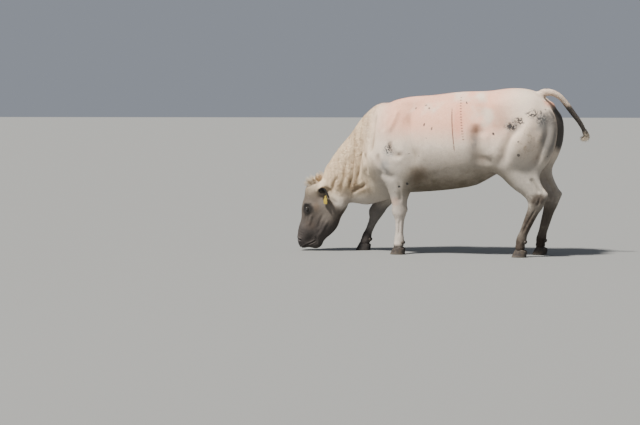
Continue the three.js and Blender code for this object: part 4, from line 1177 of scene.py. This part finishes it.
# %% Unwrap of the skin, on a light copy
proxy = skin.copy()
proxy.data = skin.data.copy()
proxy.parent = None
bpy.context.scene.collection.objects.link(proxy)
apply_modifier(proxy, "DECIMATE", ratio=0.035)
only(proxy)
mode("EDIT")
bpy.ops.mesh.select_all(action="SELECT")
bpy.ops.mesh.quads_convert_to_tris()
bpy.ops.uv.smart_project(angle_limit=math.radians(62), island_margin=0.002)
mode("OBJECT")
proxy_points = [v.co.copy() for v in proxy.data.vertices]
proxy_faces = [tuple(f.vertices) for f in proxy.data.polygons]
proxy_uv = read(proxy.data.uv_layers.active.data, "uv", 2).reshape(-1, 3, 2)
proxy_tree = BVHTree.FromPolygons(proxy_points, proxy_faces)
corner = np.array([[proxy_points[i] for i in face] for face in proxy_faces])
bpy.data.objects.remove(proxy)
print("unwrap of", len(proxy_faces), "faces")


def skin_uv(places):
    hits = [proxy_tree.find_nearest(p) for p in places]
    face = np.array([hit[2] for hit in hits])
    spot = np.array([hit[0] for hit in hits])
    a, b, c = corner[face, 0], corner[face, 1], corner[face, 2]
    whole = lengths(np.cross(b - a, c - a)) + 1e-12
    wa = lengths(np.cross(b - spot, c - spot)) / whole
    wb = lengths(np.cross(a - spot, c - spot)) / whole
    wc = np.clip(1 - wa - wb, 0, 1)
    weight = np.stack([wa, wb, wc], axis=1)
    weight /= weight.sum(1, keepdims=True)
    return (proxy_uv[face] * weight[:, :, None]).sum(1)


# %% The lie of the hair over the skin
TAIL = [(845, 0, 1392), (905, 0, 1426), (975, 10, 1424), (1036, 34, 1390),
        (1080, 66, 1334), (1140, 112, 1244), (1200, 164, 1150), (1238, 212, 1052)]
tail_line = np.array([(x + SHIFT, y, z) for x, y, z in TAIL]) * MM
points, normals = points_of(skin), normals_of(skin)
edges = edges_of(skin)
found = regions(points)


def part(*words):
    return in_regions(found, *words)


lie = np.tile((1.0, 0.0, -0.34), (len(points), 1))
lie[part("neck")] = (0.75, 0, 0.10)
legs = part("leg")
lie[legs] = (0.12, 0, -1)
head = part("head")
lie[head] = points[head] - mm(-1215, 0, 470)
for side, word in ((-1, "ear_left"), (1, "ear_right")):
    lie[part(word)] = (0.144, 0.116 * side, -0.085)
tail_zone = part("tail")
nearest = np.linalg.norm(points[tail_zone][:, None] - tail_line[None, :-1], axis=2).argmin(1)
lie[tail_zone] = (tail_line[1:] - tail_line[:-1])[nearest]
lie /= np.linalg.norm(lie, axis=1, keepdims=True)
lie = spread(lie, edges, 14)
print("lie of the hair over", len(lie), "points")

# %% Painted shade in folds and grooves, by how far the skin lies under its own average
FULL_DEPTH = 11 * MM
level = spread(points, edges, 34)
hollow = np.clip(((level - points) * normals).sum(1) / FULL_DEPTH, 0, 1)
hollow = spread(hollow, edges, 3) * np.where(head, 0.35, np.where(legs, 0.5, 0.9))
strand = np.ones((len(points), 4))
strand[:, 1] = 0
strand[:, 2] = hollow
skin.data.attributes.new("strand", "FLOAT_COLOR", "POINT").data.foreach_set("color", strand.ravel())
print("hollows", round(float(hollow.mean()), 3))

# %% Length, width, lift and count of the hair
# Millimetres, a share of the length, and thousands to the square metre.
hair = {}
for key, base, by_part in (
    ("length", 14, {"neck": 25, "head": 8, "ear": 17, "upper": 13, "lower": 10, "tail": 18}),
    ("width", 2.6, {"neck": 3.8, "head": 1.9, "ear": 2.0, "lower": 2.0, "tail": 2.3}),
    ("lift", 0.09, {"neck": 0.26, "head": 0.09, "ear": 0.28, "lower": 0.12, "tail": 0.18}),
    ("count", 13.5, {"neck": 19, "head": 34, "ear": 60, "lower": 27, "tail": 42}),
):
    values = np.full(len(points), float(base))
    for word, value in by_part.items():
        values[part(word)] = value
    hair[key] = spread(values, edges, 12)
both_sides = points * (1, 0, 1) + np.abs(points) * (0, 1, 0)


def away_from(centre, radii):
    """Distance from a place on either side, in shares of the radii in metres."""
    return lengths((both_sides - mm(*centre)) / radii)


bare = points[:, 2] < 0.055
for centre, radii in (((-1262, 20, 78), (78, 80, 66)), ((-1187, 93, 388), (30, 30, 27)),
                      ((1030, 0, 1330), (60, 60, 40))):
    bare |= away_from(centre, np.array(radii) * MM) < 1
for x, y, z in ((-1170, 52, 94), (-1190, 58, 82), (-1210, 62, 72), (-1233, 65, 61),
                (-1256, 66, 52), (-1277, 60, 45), (-1296, 54, 38)):
    bare |= away_from((x + SHIFT, y, z), 1.0) < 0.022
hair["count"] *= ~bare * (1 - 0.8 * np.exp(-(away_from((705, 46, 700), 0.11) ** 2)))
forehead = np.exp(-(lengths((points - mm(-1200, 0, 560)) / mm(80, 90, 110)) ** 2))
under = np.clip(-normals[:, 2] - 0.3, 0, 1) * (points[:, 2] > 0.42)
crest = np.clip(normals[:, 2] - 0.55, 0, 1) * part("neck", "torso") * (points[:, 0] < -0.35)
ankle = ease(0.105, 0.075, points[:, 2])
hair["length"] += 11 * forehead
hair["lift"] += 0.24 * forehead
hair["length"] += 9 * under
hair["length"] += 16 * spread(crest, edges, 6)
hair["length"] += 7 * ankle
hair["lift"] += 0.12 * ankle
print("hair", {key: [round(float(v), 2) for v in (value.min(), value.max())] for key, value in hair.items()})

# %% Roots scattered over the skin
skin.data.calc_loop_triangles()
corners = read(skin.data.loop_triangles, "vertices", 3, np.int64)
first, second, third = (points[corners[:, k]] for k in range(3))
areas = lengths(np.cross(second - first, third - first)) / 2
print("skin area", round(float(areas.sum()), 2), "square metres")


def scatter(weights, share, seed):
    """Roots over the skin, weights in thousands to the square metre."""
    draw = np.random.default_rng(seed)
    expected = areas * weights[corners].mean(1) * 1000 * share
    total = int(expected.sum())
    steps = (np.arange(total) + draw.random(total)) / max(total, 1) * expected.sum()
    triangle = np.minimum(np.searchsorted(np.cumsum(expected), steps), len(corners) - 1)
    u, v = draw.random(total), draw.random(total)
    over = u + v > 1
    u[over], v[over] = 1 - u[over], 1 - v[over]
    weight = np.stack([1 - u - v, u, v], axis=1)[:, :, None]
    return corners[triangle], weight, draw


def at_roots(values, picked, weight):
    return (values.reshape(len(points), -1)[picked] * weight).sum(1)


def unit(vectors):
    return vectors / np.maximum(np.linalg.norm(vectors, axis=1, keepdims=True), 1e-9)


# %% Tufts
def tufts(name, roots, normal, way, length, width, lift, draw,
          rings=1, wave=0.0, spray=0.2, droop=0.5, shade=0.0):
    """Builds one piece of closed blades, and gives it its material and unwrap."""
    count = len(roots)
    way = unit(way - normal * (way * normal).sum(1, keepdims=True))
    aside = np.cross(normal, way)
    turn = draw.normal(0, spray, count)[:, None]
    way = unit(way + aside * turn)
    aside = np.cross(normal, way)
    length = (length * draw.uniform(0.75, 1.25, count))[:, None]
    width = (width * draw.uniform(0.8, 1.2, count))[:, None]
    lift = (lift * draw.uniform(0.6, 1.4, count))[:, None]
    phase = draw.uniform(0, 6.28, count)[:, None]
    twist = draw.uniform(-0.6, 0.6, count)[:, None]
    across = unit(aside + normal * twist)
    layers = [roots - normal * 0.0016]
    for ring in range(rings):
        t = (ring + 0.75) / (rings + 0.75)
        middle = roots + length * t * way + normal * length * lift * (t - droop * t * t)
        middle = middle + aside * (np.sin(phase + t * 5.5) - np.sin(phase)) * length * wave
        middle = middle + normal * (np.cos(phase + t * 6.5) - np.cos(phase)) * length * wave * 0.5
        half = width / 2 * (1 - 0.55 * (ring / rings))
        over = np.cross(way, across)
        layers += [middle - across * half, middle + across * half, middle + over * half * 0.45]
    tip = roots + length * way + normal * length * lift * (1 - droop)
    tip = tip + aside * (np.sin(phase + 5.5) - np.sin(phase)) * length * wave
    layers.append(tip + normal * (np.cos(phase + 6.5) - np.cos(phase)) * length * wave * 0.5)
    per = len(layers)
    vertices = np.stack(layers, axis=1).reshape(-1, 3)
    faces = [(0, 2, 1), (0, 3, 2), (0, 1, 3)]
    for ring in range(rings - 1):
        a = 1 + ring * 3
        for i in range(3):
            p, q = a + i, a + (i + 1) % 3
            faces += [(p, q, q + 3), (p, q + 3, p + 3)]
    a = 1 + (rings - 1) * 3
    faces += [(a, a + 1, per - 1), (a + 1, a + 2, per - 1), (a + 2, a, per - 1)]
    faces = np.array(faces)
    all_faces = (faces[None] + np.arange(count)[:, None, None] * per).reshape(-1, 3)
    mesh = bpy.data.meshes.new(name)
    mesh.from_pydata(vertices, [], all_faces)
    levels = np.array([0.0] + [(r + 0.75) / (rings + 0.75) for r in range(rings) for _ in range(3)] + [1.0])
    strand = np.ones((count, per, 4))
    strand[:, :, 0] = levels[None]
    strand[:, :, 1] = draw.random(count)[:, None]
    strand[:, :, 2] = np.broadcast_to(shade, count)[:, None]
    mesh.attributes.new("strand", "FLOAT_COLOR", "POINT").data.foreach_set("color", strand.ravel())
    patch = np.stack([np.cos(np.arange(per) * 2.4), np.sin(np.arange(per) * 2.4)], axis=1) * 0.0015
    patch[0] = 0
    uv = (skin_uv(roots)[:, None] + patch[None]).reshape(-1, 2)
    layer = mesh.uv_layers.new(name="OFBake")
    layer.data.foreach_set("uv", uv[all_faces.ravel()].ravel())
    piece = bpy.data.objects.new(name, mesh)
    bpy.context.scene.collection.objects.link(piece)
    mesh.materials.append(coat_paint)
    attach(piece, "root")
    print(name, count, "tufts", len(all_faces), "triangles")
    return piece


def coat_over(name, where, seed, rings=1, share=1.0, **looks):
    picked, weight, draw = scatter(hair["count"] * where, share, seed)
    tufts(
        name,
        at_roots(points, picked, weight),
        unit(at_roots(normals, picked, weight)),
        at_roots(lie, picked, weight),
        at_roots(hair["length"], picked, weight)[:, 0] * MM,
        at_roots(hair["width"], picked, weight)[:, 0] * MM,
        at_roots(hair["lift"], picked, weight)[:, 0],
        draw, rings=rings, shade=at_roots(hollow, picked, weight)[:, 0], **looks)


# %% Short coat
left = points[:, 1] < 0
torso = part("torso")
ahead_half = points[:, 0] < 0.25
coat_over("coat_flank_left", torso & left & ahead_half, 1)
coat_over("coat_flank_right", torso & ~left & ahead_half, 2)
coat_over("coat_rump_left", torso & left & ~ahead_half, 3)
coat_over("coat_rump_right", torso & ~left & ~ahead_half, 4)
coat_over("coat_forelegs", part("foreleg"), 5)
coat_over("coat_hindlegs", part("hindleg"), 6)
coat_over("coat_face", part("head"), 7, rings=1, spray=0.3)
coat_over("coat_tail", part("tail"), 8)
coat_over("coat_ears", part("ear"), 9, rings=2, wave=0.05, spray=0.35)
coat_over("coat_neck", part("neck"), 10, rings=3, wave=0.11, spray=0.4, droop=0.8)

# %% [markdown]
# Long hair stands where it does in life: a spiky pale tuft on the poll, and the
# switch, a brush of hair that curls off the end of the tail. Their roots are
# laid along the skull and round the last hand's breadth of the tail.

# %% Poll tuft
SPIKES = 52
from_poll = lengths((points - mm(-1148, 0, 640)) / mm(92, 68, 56))
on_poll = np.exp(-(from_poll ** 4)) * head
picked, weight, draw = scatter(on_poll, 66, 21)
roots = at_roots(points, picked, weight)
count = len(roots)
spikes = roots[draw.choice(count, SPIKES, replace=False)]
spike_aim = draw.normal(0, 0.45, (SPIKES, 3)) + (-0.25, 0, 0)
mine = np.linalg.norm(roots[:, None] - spikes[None], axis=2).argmin(1)
gather = (spikes[mine] - roots) / 0.03
upright = unit((roots - mm(-1120, 0, 560)) * (1.0, 1.3, 0.9)) + spike_aim[mine] + gather
tufts("poll_tuft", roots, unit(at_roots(normals, picked, weight)), upright, draw.uniform(24, 38, count) * MM,
      np.full(count, 2.8 * MM), np.full(count, 1.9), draw, rings=3, wave=0.03, spray=0.10, droop=0.25)

# %% Switch
draw = np.random.default_rng(31)
count = 1500
tail_end, tail_before = tail_line[-1], tail_line[-2]
tail_way = (tail_end - tail_before) / np.linalg.norm(tail_end - tail_before)
down = draw.uniform(-0.07, 0.032, count)
angle = draw.uniform(0, 2 * math.pi, count)
first = unit(np.cross(tail_way, (0, 1, 0))[None])[0]
second = np.cross(tail_way, first)
outward = np.cos(angle)[:, None] * first + np.sin(angle)[:, None] * second
tip_turn = ease(-0.03, 0.03, down)[:, None]
roots = tail_end + tail_way * down[:, None] + outward * 0.012 + np.array((-0.012, 0, 0.006)) * tip_turn
curl = tail_way * (1 - tip_turn) + np.array((-0.95, 0.15, -0.30)) * tip_turn
tufts("tail_switch_hair", roots, outward, curl, draw.uniform(34, 58, count) * MM, np.full(count, 2.6 * MM),
      np.full(count, 0.30), draw, rings=3, wave=0.10, spray=0.20, droop=0.8)
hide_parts("tail_switch")
